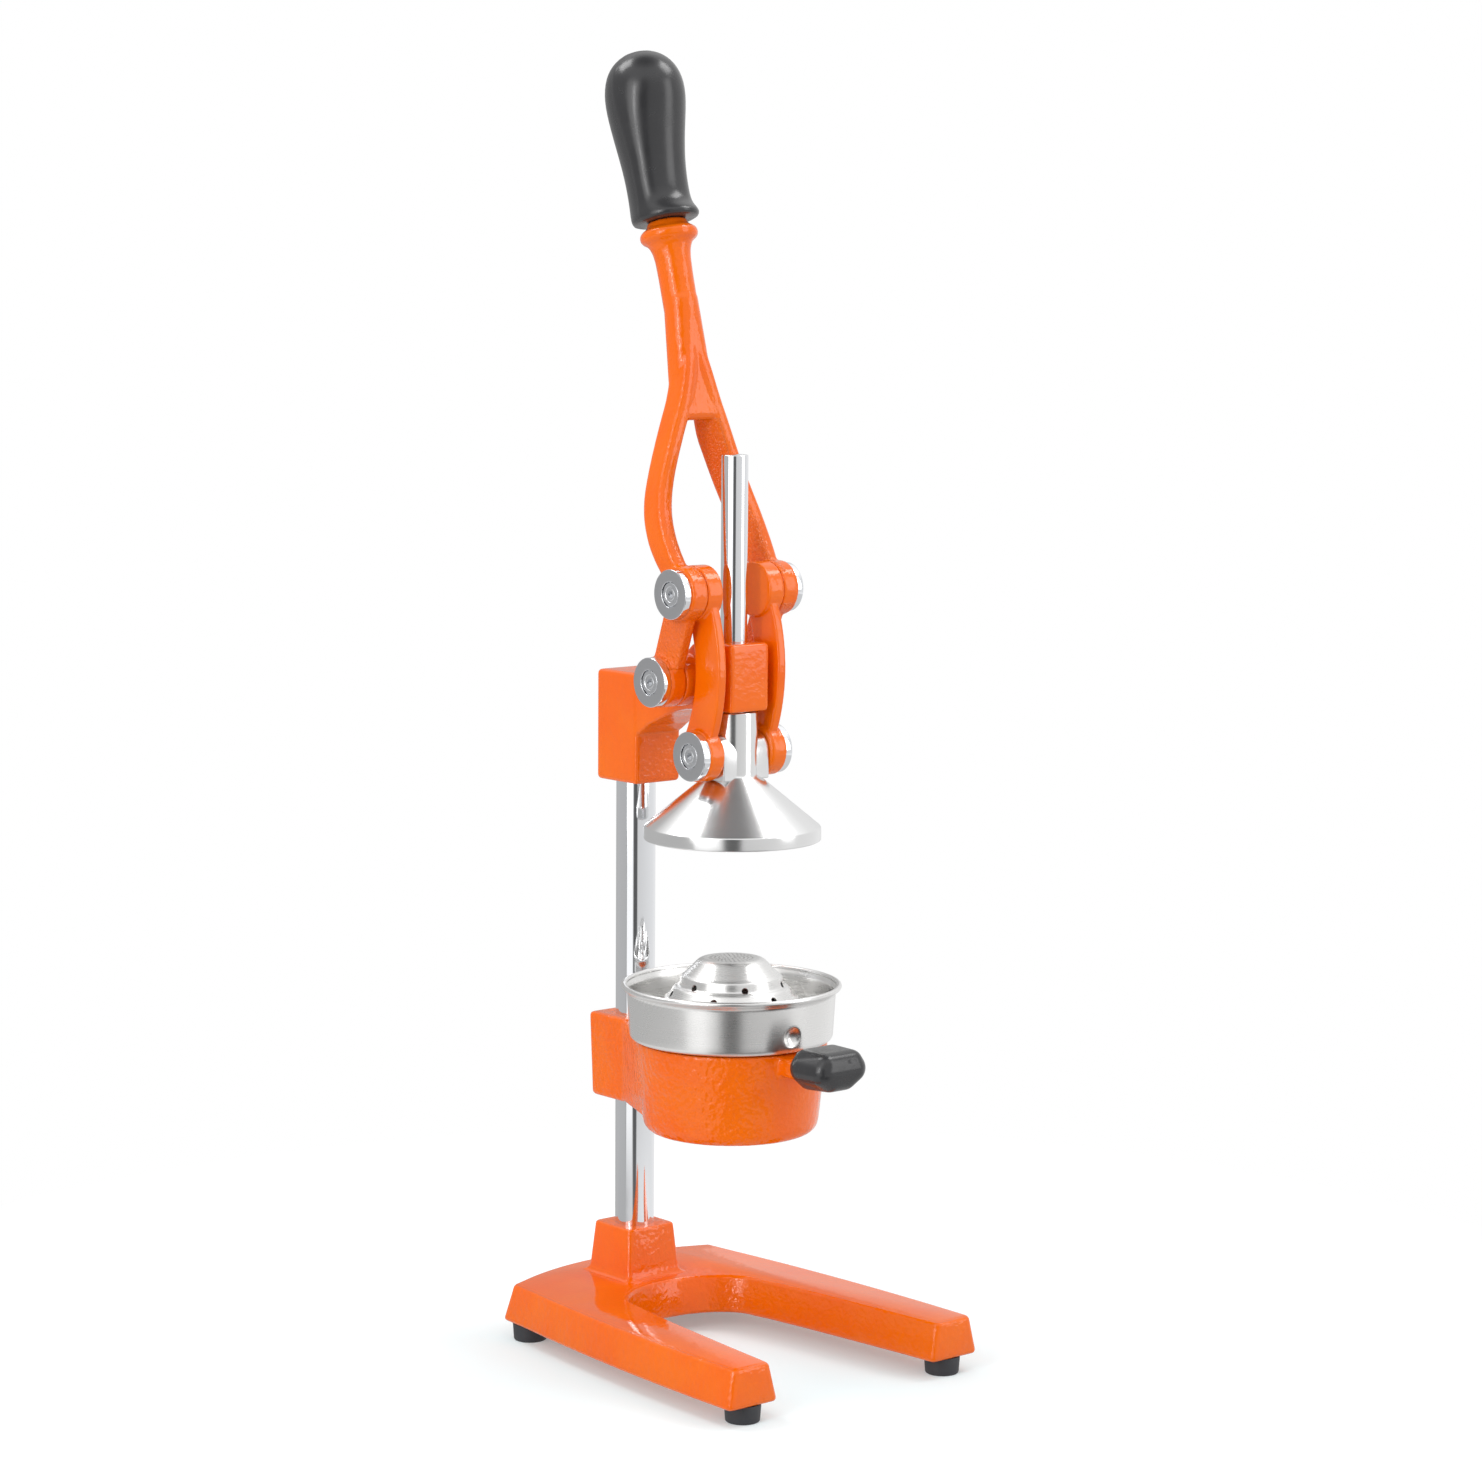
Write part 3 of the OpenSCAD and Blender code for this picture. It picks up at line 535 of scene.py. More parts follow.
# %% Spun and turned metal
def ringed_metal(name, colour, low, high, density, depth):
    """Metal with rings round the rod's axis, between two roughness values. The rings smear
    reflections across themselves, so the shader is anisotropic round the axis."""
    made, tree, shader, place = material(name, colour, 1.0, (low + high) / 2,
                                         anisotropic=0.5, anisotropic_rotation=0.25)
    round_axis = add(tree, "ShaderNodeTangent", direction_type="RADIAL", axis="Z")
    tree.links.new(round_axis.outputs[0], shader.inputs["Tangent"])
    centred = add(tree, "ShaderNodeMapping", {"Vector": place,
                  "Location": (0, -press_y * MM, 0)})
    marks = use_group(tree, turned_rings, Vector=centred.outputs[0], Density=density)
    both = maths(tree, "MULTIPLY_ADD", marks.outputs["Cloud"], 0.5, marks.outputs["Lines"])
    rough_by(tree, shader, both, low, high, 0.45, 1.05)
    bump(tree, shader, marks.outputs["Lines"], depth, 0.25)
    return made


stainless = ringed_metal("spun_stainless", (0.78, 0.775, 0.765), 0.25, 0.31, 1500.0, 0.00002)
aluminium = ringed_metal("turned_aluminium", (0.78, 0.78, 0.78), 0.17, 0.23, 1900.0, 0.00001)
print("stainless and aluminium ready")

# %% [markdown]
# ### Plastic and rubber
# The two grips are one dark moulded plastic with a low sheen. The feet are a matt rubber.

# %% Plastic and rubber
def moulding(name, dark, pale, low, high, scale, relief, strength):
    """Moulded plastic or rubber: two near colours, a roughness that drifts, a fine grain."""
    made, tree, shader, place = material(name, dark, 0.0, (low + high) / 2)
    mould = use_group(tree, moulded, Vector=place, Scale=scale)
    two_colours(tree, shader, mould.outputs["Scuffs"], dark, pale)
    rough_by(tree, shader, mould.outputs["Scuffs"], low, high)
    bump(tree, shader, mould.outputs["Height"], relief, strength)
    return made


grip_plastic = moulding("grip_plastic", (0.024, 0.024, 0.026), (0.034, 0.034, 0.036),
                        0.19, 0.29, 1300, 0.00006, 0.35)
rubber = moulding("foot_rubber", (0.026, 0.026, 0.030), (0.044, 0.044, 0.050),
                  0.5, 0.72, 900, 0.00012, 0.5)
print("plastic and rubber ready")


# %% Putting a piece in the frame
def settle(obj, name, body, slot, finish, *nodes, angle=None):
    """Name a finished piece, give it its finish and let it ride on its body."""
    apply_place(obj)
    obj.name = obj.data.name = name
    if finish is not None:
        obj.data.materials.clear()
        obj.data.materials.append(finish)
    if angle is None:
        bpy.ops.object.shade_smooth()
    else:
        bpy.ops.object.shade_smooth_by_angle(angle=math.radians(angle))
    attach(obj, body)
    if nodes:
        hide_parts(*nodes)
    low = Vector(map(min, zip(*[v.co for v in obj.data.vertices]))) / MM
    high = Vector(map(max, zip(*[v.co for v in obj.data.vertices]))) / MM
    print(f"{name}: {len(obj.data.polygons)} faces, z {low.z:.1f} to {high.z:.1f} mm")
    return obj


def mark_skin(obj, sand, ripple):
    """Store how coarse and how wavy the skin is, each from a function of x, y, z in mm."""
    for name, amount in (("sand", sand), ("ripple", ripple)):
        layer = obj.data.attributes.new(name, "FLOAT", "POINT")
        layer.data.foreach_set("value", [amount(*(v.co / MM)) for v in obj.data.vertices])


print("ready to place pieces")

# %% [markdown]
# ## The base
# The base is a flat casting shaped like a horseshoe, so that a glass can stand between its
# legs, with a short tower that holds the column. Its walls lean in towards the top. It is
# lofted from the lower outline to the upper one, and its rims are then bevelled.

# %% Outline of the base
BASE_Z0, BASE_Z1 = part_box("foot_front_left")[1].z / MM, 32.6
DRAFT = 4.6
NOTCH_HALF_W, LEG_IN = 45.5, 61.5
NOTCH_Y, NOTCH_REAR = column_y - 59.5, column_y - 28.2
CORNER_R, REAR_R = 4, 161


def base_outline(stand_out):
    """Outline in mm. stand_out is how far the wall stands out below the upper rim."""
    s, r = stand_out, CORNER_R
    front = base_front + 1.6 - 0.35 * s
    outer = base_half_w - DRAFT + s
    notch, rise = 1.1 * s, NOTCH_Y - NOTCH_REAR
    rear_centre = base_rear - 5.5 + 1.2 * s - REAR_R
    corner = 74 + 0.9 * s
    right = []
    for i in range(15):
        a = math.radians(90 - 90 * i / 14)
        right.append(((NOTCH_HALF_W - notch) * math.cos(a),
                      NOTCH_Y - (rise + notch) * math.sin(a)))
    for i in range(1, 9):
        t = i / 9
        right.append((NOTCH_HALF_W - notch + (LEG_IN - NOTCH_HALF_W) * t ** 0.8,
                      NOTCH_Y + (base_front + 6 - NOTCH_Y) * t))
    right += arc((LEG_IN - notch + r, front + r), r, 180, 270, 6)
    right += arc((outer - r, front + r), r, 270, 360, 6)
    for i in range(1, 17):
        t = i / 17
        right.append((outer - (outer - corner) * t ** 2.1,
                      front + r + (column_y + 14 - front - r) * t))
    right += arc((corner - r, column_y + 17 + 1.1 * s), r, 0, 64, 5)
    for i in range(1, 13):
        x = (corner - r) * (1 - i / 12)
        right.append((x, rear_centre + math.sqrt(REAR_R ** 2 - x * x)))
    return right + [(-x, y) for x, y in right[-2:0:-1]]


print("base outline of", len(base_outline(0)), "points")

# %% Base plate
plate_rings = [[(x, y, BASE_Z0) for x, y in base_outline(DRAFT)],
               [(x, y, BASE_Z1) for x, y in base_outline(0)]]
base = soften(loft(plate_rings), 2.6, 4)
BORE_R, BORE_Z0, BORE_Z1 = 12, 8, 25.2
bolt_bore = lathe([(0, BORE_Z0), (BORE_R, BORE_Z0), (BORE_R, BORE_Z1), (0, BORE_Z1)], 64)
cut(base, put(bolt_bore, 0, column_y, 0))
print("base plate:", len(base.data.polygons), "faces")

# %% Tower with a fillet at its foot
tower_levels = [(30.5, 22.6), (32.7, 22.4), (33.4, 21.0), (34.4, 20.0), (35.8, 19.4), (38, 19.1),
                (60.6, 17.15), (61.5, 16.9), (62.0, 16.3), (62.1, 15.4)]
tower = loft([[(x, y + column_y, z) for x, y in rounded_rect(half, half, 3.4)]
              for z, half in tower_levels])
base = join(base, tower)


def base_sand(x, y, z):
    """Coarser in the notch, where the mould was hard to dress."""
    return 0.16 if z < 31 and y < 45 and abs(x) < LEG_IN + 0.5 else 0.02


def base_ripple(x, y, z):
    """Calm on the upper face, wavier on the tower and most on the walls."""
    return 0.7 if z <= 32 else 0.10 if z < 34 else 0.45


mark_skin(base, base_sand, base_ripple)
settle(base, "base_body", "stand", "orange_enamel", enamel, "base_casting", angle=38)

# %% [markdown]
# ## Rubber feet
# Four turned rubber feet raise the base. One is turned on the lathe and copied.

# %% Feet
foot_low, foot_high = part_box("foot_front_left")
foot_r, foot_top = (foot_high.x - foot_low.x) / 2 / MM, foot_high.z / MM
SOLE_R, FOOT_RECESS_R, FOOT_HOLE_R, RECESS_TOP = 9.5, 5.5, 2.6, 4
foot_profile = rounded([(FOOT_RECESS_R, 0), (SOLE_R, 0), (foot_r, foot_top),
                        (FOOT_HOLE_R, foot_top), (FOOT_HOLE_R, RECESS_TOP),
                        (FOOT_RECESS_R, RECESS_TOP)], [0.4, 1.2, 0.5, 0, 0, 0.3], closed=True)
first_foot = lathe(foot_profile, 64, closed=True)
for corner in ("front_left", "front_right", "rear_left", "rear_right"):
    one = copy_of(first_foot)
    spot = middle("foot_" + corner)
    one.location = (spot.x, spot.y, 0)
    settle(one, "rubber_foot_" + corner, "stand", "rubber", rubber, "foot_" + corner, angle=40)
bpy.data.objects.remove(first_foot)

# %% [markdown]
# ## Column and rod
# Both are ground and chromed bars. They are turned again so that they are perfectly round
# in close views, with the small chamfers of the real bars.

# %% Column and plunger rod
def bar_in(box, y, edge, steps):
    """Turn an upright bar as long and as thick as a drawn box."""
    size = (box[1] - box[0]) / MM
    return put(bar(size.z, size.x / 2, edge, steps), 0, y, box[0].z / MM)


column = bar_in(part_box("column"), column_y, 0.8, 160)
settle(column, "column_bar", "stand", "chrome", chrome, "column", angle=40)
rod = bar_in(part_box("plunger_rod"), press_y, 0.9, 128)
settle(rod, "plunger_bar", "plunger", "chrome", chrome, "plunger_rod", angle=40)

# %% [markdown]
# ## Pot and carrier
# The pot that carries the bowl is cast in one piece with the block that grips the column and
# the stub of its handle. The pot is turned, the block and its neck are lofted, and all are
# cast together so that they flow into each other.

# %% Pot, neck, block and stub
POT_TOP, POT_FOOT = 185.8, 133.0
POT_TOP_R, POT_FOOT_R, POT_HOLE_R = 55, 49.2, 22
pot_profile = rounded([(POT_HOLE_R, POT_FOOT), (POT_FOOT_R, POT_FOOT), (POT_TOP_R, POT_TOP),
                       (POT_TOP_R - 4, POT_TOP), (45.8, 138.6), (POT_HOLE_R, 138.0)],
                      [0.8, 7.5, 1.2, 0.8, 5, 0.8], 6, closed=True)
pot = put(lathe(pot_profile, 160, closed=True), 0, press_y, 0)


def neck_ring(z):
    """Outline of the neck at a height: from the block's front to the pot's wall."""
    rise = (z - POT_FOOT) / (POT_TOP - POT_FOOT)
    wall = POT_FOOT_R + (POT_TOP_R - POT_FOOT_R) * rise - 1.6
    side = [(17.6, column_y - 10)] + arc((0, press_y), wall, 40, 90, 5)
    return [(x, y, z) for x, y in side] + [(-x, y, z) for x, y in side[::-1] if x > 0.01]


neck = loft([neck_ring(z) for z in (138.5, 150, 165, 180, 185.6)])
gripper = loft([[(x, y + column_y + 3, z) for x, y in rounded_rect(half, half - 2, 2.6)]
                for z, half in ((137.5, 16.6), (138.4, 17.7), (139.5, 18.0), (185, 19.1),
                                (186.4, 18.8), (187.0, 17.8))])
STUB_LOW, STUB_HIGH, GRIP_Z = 173.5, 184.6, 181.0
stub = block((-11, press_y - 69, STUB_LOW), (11, press_y - 50, STUB_HIGH), 3.5)
carrier = cast_together([pot, neck, gripper, stub], 1.15, 5)
SET_SCREW_R = 4.15
cut(carrier, *[rear_drill(column_y + 11, column_y + 24, SET_SCREW_R, z) for z in (151, 176)])


def carrier_sand(x, y, z):
    """The block at the rear is a little coarser than the pot."""
    return 0.22 if y > 40 else 0.05


def carrier_ripple(x, y, z):
    """Wavy on the block, and on the pot more towards its left."""
    return 1.0 if y > 40 else 0.5 + min(1, max(0, -x / 25))


mark_skin(carrier, carrier_sand, carrier_ripple)
settle(carrier, "pot_and_carrier", "stand", "orange_enamel", enamel, "pot_carrier")

# %% [markdown]
# The pot's grip is a small moulded knob, fuller above than below. Spheres at its corners are
# wrapped in one convex skin, as if a sheet were pulled tight round them, and the skin is
# smoothed. A shallow oval mark of the mould stays on its front.

# %% Pot grip
grip_y0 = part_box("pot_grip")[1].y / MM
# each ball's distance from the middle, from the stub and from the axis, and its radius
KNOB_FORM = [(9.5, 7, 5, 7), (9, 22.4, 5, 7), (11.5, 8.5, 1.5, 8.5), (10, 21.5, 1.5, 8.5),
             (7, 8, -3, 8), (5, 21, -2.5, 8)]
knob = wrapped([ball(side * x, grip_y0 - along, GRIP_Z + lift, radius)
                for x, along, lift, radius in KNOB_FORM for side in (-1, 1)])
cast_together([knob], 0.6, 4)
MARK_X, MARK_Z, MARK_HALF_W, MARK_HALF_H, MARK_DEPTH = 5, GRIP_Z + 7, 3.6, 1.5, 0.35
for vertex in knob.data.vertices:
    x, y, z = vertex.co / MM
    away = math.hypot((x - MARK_X) / MARK_HALF_W, (z - MARK_Z) / MARK_HALF_H)
    if y < grip_y0 - 24 and away < 1:
        vertex.co.y += MARK_DEPTH * (1 - away ** 2) * MM
settle(knob, "pot_knob", "stand", "grip_plastic", grip_plastic, "pot_grip", angle=60)

# %% [markdown]
# ## Bowl and strainer
# Both are spun from thin stainless sheet. The bowl has a rolled rim, a nearly upright wall
# with a small round dent over the handle, and a spout below. The strainer is a stepped dome
# with two rows of holes, and a patch of fine holes on its flat top.

# %% Juice bowl
BOWL_RIM_R, BOWL_RIM_Z = 62.5, 218.0
wall_rows = [(57.6 + (z - 186.6) / 16, z) for z in np.arange(192.2, 203.5, 1.1)]
outer_wall = rounded([(17, 160), (17, 183.6), (52.0, 186.0), (57.6, 186.6), (58.2, 196.2)],
                     [0, 1.2, 0, 4.6, 0], 6)[:-1] + wall_rows
outer_wall += rounded([wall_rows[-1], (59.0, 210.0), (59.2, 213.4), (61.5, 215.1)],
                      [0, 2, 1.6, 0], 5)[1:]
rim = arc((BOWL_RIM_R - 1.5, BOWL_RIM_Z - 1.5), 1.5, -70, 200, 14)
inner_rows = [(r - 1, z) for r, z in wall_rows[::-1]]
inner_wall = rounded([(59.5, 215.8), (58.3, 213.7), (58.0, 210.0), inner_rows[0]],
                     [0, 1.6, 2, 0], 5) + inner_rows[1:]
inner_wall += rounded([(57.2, 196.2), (56.6, 187.6), (51.8, 187.0), (16, 184.4), (16, 160)],
                      [0, 3.8, 0, 1.2, 0], 6)[1:]
bowl = lathe(outer_wall + rim + inner_wall, 192, closed=True)
print("bowl turned:", len(bowl.data.polygons), "faces")

# %% [markdown]
# The dent in the front wall is the print of a round punch, with a soft edge. The wall has
# extra rings there, the patch is subdivided, and its points are pushed in along the print of
# a sphere. The whole bowl then turns a few degrees, because it lies loose in the pot.

# %% Dent in the bowl
DENT_Z, PUNCH_R, PUNCH_OUT, BOWL_TURN = 196.0, 6.9, 4.2, -4.0
deselect()
for part in (bowl.data.vertices, bowl.data.edges, bowl.data.polygons):
    part.foreach_set("select", [False] * len(part))
for face in bowl.data.polygons:
    spot = face.center / MM
    face.select = spot.y < -50 and abs(spot.x) < 9 and 189 < spot.z < 203
pick(bowl)
bpy.ops.object.mode_set(mode="EDIT")
bpy.ops.mesh.select_mode(type="FACE")
bpy.ops.mesh.subdivide(number_cuts=3)
bpy.ops.object.mode_set(mode="OBJECT")
for vertex in bowl.data.vertices:
    x, y, z = vertex.co / MM
    away = math.hypot(x, z - DENT_Z)
    if y < -50 and away < PUNCH_R - 0.1:
        depth = math.sqrt(PUNCH_R ** 2 - away ** 2) - PUNCH_OUT
        vertex.co.y += 0.5 * (depth + math.sqrt(depth ** 2 + 0.2)) * MM
put(bowl, 0, press_y, 0, (0, 0, BOWL_TURN))
settle(bowl, "spun_bowl", "stand", "stainless", stainless, "juice_bowl", angle=40)

# %% Strainer dome
over = [(0, 232), (16.8, 232), (19.1, 230.9), (26.8, 223.0), (28.3, 222.1), (29.9, 216.7),
        (32.4, 216.0), (36.1, 210.6), (38.3, 209.3), (40.2, 190.0), (42.0, 188.3), (49, 188.3)]
over = rounded(over, [0, 2.2, 2.2, 1.0, 2.0, 1.6, 1.2, 1.4, 1.2, 1.2, 1.2, 0], 5)
over = [point for a, b in zip(over, over[1:]) for point in fine_line(a, b, 1.2)] + over[-1:]
under = [(r - 0.85 * min(1, max(0, (r - 12) / 6)), z - 0.75) for r, z in over[::-1]]
under[0] = (49, 187.6)
strainer = put(lathe(over + under, 160), 0, press_y, 0)
print("strainer turned:", len(strainer.data.polygons), "faces")

# %% [markdown]
# Two staggered rows of six holes drain the juice, and the flat top has rings of fine
# holes. A short cylinder is placed at each hole and its volume is cut away.

# %% Strainer holes
def punch_pin(reach, turn, z, radius, depth, sides, rotation=(0, 0, 0)):
    """A cylinder at a distance and an angle from the press axis."""
    spot = Vector((reach * math.cos(turn), press_y + reach * math.sin(turn), z)) * MM
    bpy.ops.mesh.primitive_cylinder_add(vertices=sides, radius=radius * MM, depth=depth * MM,
                                        location=spot, rotation=rotation)
    return bpy.context.object


deselect()
holes = []
for reach, z, first in ((29.4, 218.0, 5.0), (34.8, 212.4, 33.5)):
    for i in range(6):
        turn = math.radians(first + 60 * i)
        holes.append(punch_pin(reach, turn, z, 1.9, 8, 24, (0, math.radians(60), turn)))
for reach, count in ((2.4, 6), (4.8, 12), (7.2, 18), (9.6, 24), (12.0, 30)):
    for i in range(count):
        holes.append(punch_pin(reach, 2 * math.pi * i / count, 231.6, 0.6, 4, 8))
punch = join(*holes)
apply_place(punch)
cut(strainer, punch)
settle(strainer, "strainer_dome", "stand", "stainless", stainless, "strainer", angle=32)

# %% [markdown]
# ## Head
# One casting joins the clamping block on top of the column, the arm, the cross boss of the
# lever's pivot and the guide block of the rod. The bore for the rod is cut last, so that its
# edge stays crisp.

# %% Head casting
HEAD_TOP, HEAD_FOOT = 388.5, 324.4
GUIDE_TOP, GUIDE_FOOT = 411.6, 373.1
GUIDE_FRONT, GUIDE_REAR = press_y - 14.8, press_y + 14.2
clamp = block((-16.5, column_y - 20.6, HEAD_FOOT), (16.5, column_y + 16.4, HEAD_TOP), 2.4)
guide = block((-14, GUIDE_FRONT, GUIDE_FOOT), (14, GUIDE_REAR, GUIDE_TOP), 2.2)
arm_side = [(column_y - 14.6, 387.5), (column_y - 14.6, 351), (column_y - 22.6, 354.6),
            (column_y - 29.6, 359.5), (column_y - 41.8, 365.1), (column_y - 55.5, 370.7),
            (column_y - 64.1, 372.6), (column_y - 72.6, 373.1), (GUIDE_REAR - 4, 373.3),
            (GUIDE_REAR - 4, 411.2), (GUIDE_REAR + 3, 410.1), (pivot_y + 4, pivot_z + 13.6),
            (pivot_y + 16, 387.5)]
arm = loft([[(x, y, z) for y, z in arm_side] for x in (-16, 16)])
soften(arm, 1.2)
boss = rod_x(-27.5, 27.5, 14.5, pivot_y, pivot_z, 96)
head = cast_together([clamp, guide, arm, boss], 0.8, 4)
ROD_BORE_R, BUSH_SEAT_R, SEAT_LENGTH = 7.85, 9.5, 43.6
bore, seat = [put(bar(length, radius), 0, press_y, 365)
              for length, radius in ((60, ROD_BORE_R), (SEAT_LENGTH, BUSH_SEAT_R))]
cut(head, bore, seat,
    *[rear_drill(column_y + 11, column_y + 21, SET_SCREW_R, z) for z in (340, 370)])
mark_skin(head, lambda x, y, z: 0.02, lambda x, y, z: 0.08 if y < GUIDE_REAR else 0.35)
settle(head, "head_casting", "stand", "orange_enamel", enamel, "head_bracket", angle=50)

# %% [markdown]
# ## Pin caps and their screws
# Each pivot ends in a turned steel cap with a satin face and a bright rim, and a small
# screw sits in its recess. The cap and the screw are modelled once on the lathe and copied
# to all six places.

# %% One cap and one screw
CAP_R, CAP_T = 14.0, 4.7
cap_profile = rounded([(3, 0), (CAP_R, 0), (CAP_R, CAP_T), (7.2, CAP_T), (7.2, 2.5), (3, 2.5)],
                      [0, 0.3, 0.55, 0.35, 0.2, 0], 3, closed=True)
first_cap = lathe(cap_profile, 96, closed=True)
first_cap.data.materials.append(chrome)
first_cap.data.materials.append(satin)
for face in first_cap.data.polygons:
    face.material_index = 1 if face.normal.z > 0.95 and face.center.z > 4.5 * MM else 0
head_profile = rounded([(0, -8), (2.9, -8), (2.9, 2.5), (6.7, 2.5), (6.7, 4.2), (4.6, 4.35),
                        (4.2, 4.0), (3.4, 4.0), (3.1, 4.2), (0, 4.2)],
                       [0, 0.3, 0, 0.2, 0.5, 0.2, 0.2, 0.2, 0.2, 0], 3)
first_screw = lathe(head_profile, 72)
deselect()
bpy.ops.mesh.primitive_cylinder_add(vertices=6, radius=2.2 * MM, depth=4 * MM,
                                    location=(0, 0, 4.4 * MM))
cut(first_screw, bpy.context.object)
print("cap and screw turned")


# %% Six caps and six screws
def cap_place(first, x, y, z, side):
    """A copy that faces outwards, x mm from the middle plane."""
    return along_x(copy_of(first), side * x, y, z, side)


SIDES = ((-1, "left"), (1, "right"))
cap_seats = {"pivot": (38.7, pivot_y, pivot_z), "crank": (38.3, crank_y, crank_z),
             "cone": (27.5, lower_y, lower_z)}
for joint, (x, y, z) in cap_seats.items():
    for side, word in SIDES:
        body = {"pivot": "stand", "crank": "lever", "cone": "link_" + word}[joint]
        cap = cap_place(first_cap, x, y, z, side)
        settle(cap, f"{joint}_pin_cap_{word}", body, "chrome", None, f"{joint}_cap_{word}",
               angle=35)
for joint, (x, y, z) in cap_seats.items():
    pair = [cap_place(first_screw, x, y, z, side) for side, word in SIDES]
    if joint == "cone":
        for screw, (side, word) in zip(pair, SIDES):
            settle(screw, "cone_cap_screw_" + word, "link_" + word, "steel", steel,
                   "cone_screw_" + word, angle=35)
    else:
        body = "stand" if joint == "pivot" else "lever"
        settle(join(*pair), f"{joint}_cap_screws", body, "steel", steel, f"{joint}_screws",
               angle=35)
bpy.data.objects.remove(first_cap)
bpy.data.objects.remove(first_screw)

# %% [markdown]
# ## Lever
# The lever is one casting: a round stem with a collar below the hand grip, a crotch where it
# parts, two fork arms that bow outwards round the rod, and a crank on each side. The arms
# are lofted along a smooth path with a rounded section whose inner face leans at its rear.

# %% Stem, collar and crotch
LEAN = 15.3
collar = (column_y - 28.1, 636.6)


def at_collar(obj):
    """Put a solid drawn on the collar's axis into its leaning place."""
    return put(obj, 0, *collar, (-LEAN, 0, 0))


stem_profile = [(0, 8.4), (11.2, 8.4), (11.9, 5.4)] + arc((12.6, 0.2), 4.0, 70, -75, 12)
stem_profile += [(12.2, -5.4), (10.9, -9), (10.2, -14), (9.9, -24), (9.8, -50), (0, -52)]
stem = at_collar(lathe(rounded(stem_profile, 0.8, 3), 96))
crotch = wrapped([ball(0, column_y - 38.9, 600, 9.8)]
                 + [ball(x, column_y + y, 538.5, 4.4)
                    for x in (-8.5, 8.5) for y in (-54.6, -47.4)])
print("stem and crotch shaped")

# %% Fork arm
# each row is a point x, y, z, the arm's width and depth, and how far its inner face leans
arm_path = [
    (33.1, crank_y, crank_z, 10, 16, 0), (33.1, column_y - 77.6, 447.5, 10, 16, 0),
    (33.1, column_y - 74, 453.5, 10, 16, 0.5), (33.6, column_y - 69.8, 460, 10.4, 16.4, 1.5),
    (33.6, column_y - 64.6, 469, 10.8, 16.6, 3), (32.4, column_y - 59.7, 480, 10.8, 16.6, 4),
    (29.8, column_y - 56.2, 491, 10.6, 16.4, 5), (26, column_y - 54, 503, 10.2, 16, 6),
    (21.4, column_y - 52.6, 516, 10, 16, 6.5), (16.2, column_y - 51.6, 530, 10, 16, 6.5),
    (10.4, column_y - 50.6, 545, 10, 16, 3), (6, column_y - 48.6, 560, 10, 16, 0),
    (3, column_y - 45.4, 573, 10, 16, 0)]


def smooth_path(points, between=3):
    """A Catmull-Rom curve through the points, on all their numbers at once."""
    p = np.array(points, float)
    p = np.vstack([2 * p[0] - p[1], p, 2 * p[-1] - p[-2]])
    out = []
    for k in range(1, len(p) - 2):
        for i in range(between):
            t = i / between
            out.append(0.5 * (2 * p[k] + (p[k + 1] - p[k - 1]) * t
                       + (2 * p[k - 1] - 5 * p[k] + 4 * p[k + 1] - p[k + 2]) * t ** 2
                       + (3 * p[k] - p[k - 1] - 3 * p[k + 1] + p[k + 2]) * t ** 3))
    return [[float(v) for v in row] for row in out + [p[-2]]]


def arm_rings(path, radius):
    """Rounded sections square to the path, as rings for a loft."""
    rings = []
    for k, row in enumerate(path):
        ahead, behind = path[min(k + 1, len(path) - 1)], path[max(k - 1, 0)]
        t = (Vector(ahead[:3]) - Vector(behind[:3])).normalized()
        side = Vector((0, 1, 0)).cross(t).normalized()
        back = t.cross(side).normalized()
        ring = []
        for n, (u, v) in enumerate(rounded_rect(row[3] / 2, row[4] / 2, radius, 4)):
            lean = row[5] if n // 5 == 1 else 0
            ring.append(Vector(row[:3]) + (u - lean) * side + v * back)
        rings.append(ring)
    return rings


fork_right = loft(arm_rings(smooth_path(arm_path), 3.8))
print("fork arm:", len(fork_right.data.polygons), "faces")

# %% [markdown]
# The crank below each arm is a flat bar between two bosses. Its field is the roughest skin
# of the whole casting, inside a smoother raised edge.

# %% Cranks, bosses and the whole lever
def bar_outline(y0, z0, y1, z1, half, steps=14):
    """A bar with round ends between two points, as (y, z)."""
    heading = math.degrees(math.atan2(z1 - z0, y1 - y0))
    return (arc((y1, z1), half, heading - 90, heading + 90, steps)
            + arc((y0, z0), half, heading + 90, heading + 270, steps))


BOSS_X0, BOSS_X1 = 27.9, 38.3
crank_bar = bar_outline(pivot_y, pivot_z, crank_y, crank_z, 10.5)
crank_plate = loft([[(x, y, z) for y, z in crank_bar] for x in (BOSS_X0 + 0.6, BOSS_X0 + 7.3)])
soften(crank_plate, 1.2)
crank_boss = rod_x(BOSS_X0, BOSS_X1, 15.5, crank_y, crank_z, 96)
pivot_boss = rod_x(BOSS_X0, BOSS_X1, 14.5, pivot_y, pivot_z, 96)
right_half = join(fork_right, crank_plate, crank_boss, pivot_boss)
left_half = mirrored(right_half)
lever = cast_together([stem, crotch, right_half, left_half], 0.85, 3)
for low_x in (-45, 20):
    cut(lever, rod_x(low_x, low_x + 25, 6.06, pivot_y, pivot_z),
        rod_x(low_x, low_x + 25, 6.0, crank_y, crank_z))


def lever_sand(x, y, z):
    """Roughest on the crank's field and on the inner faces of the fork."""
    if pivot_z + 8 < z < crank_z - 8:
        return 1.2
    if 450 < z < 535 and abs(x) < 31.5 - max(0.0, (z - 475) * 0.33):
        return 0.9
    return 0.06


mark_skin(lever, lever_sand, lambda x, y, z: 0.4)
settle(lever, "forked_lever", "lever", "orange_enamel", enamel, "lever_casting", angle=50)

# %% [markdown]
# ## Hand grip
# The grip is moulded plastic. Its back is straight, its front flares into a finger stop at
# the foot, and a fine parting line runs up each side. It is lofted from oval sections along
# its leaning axis.

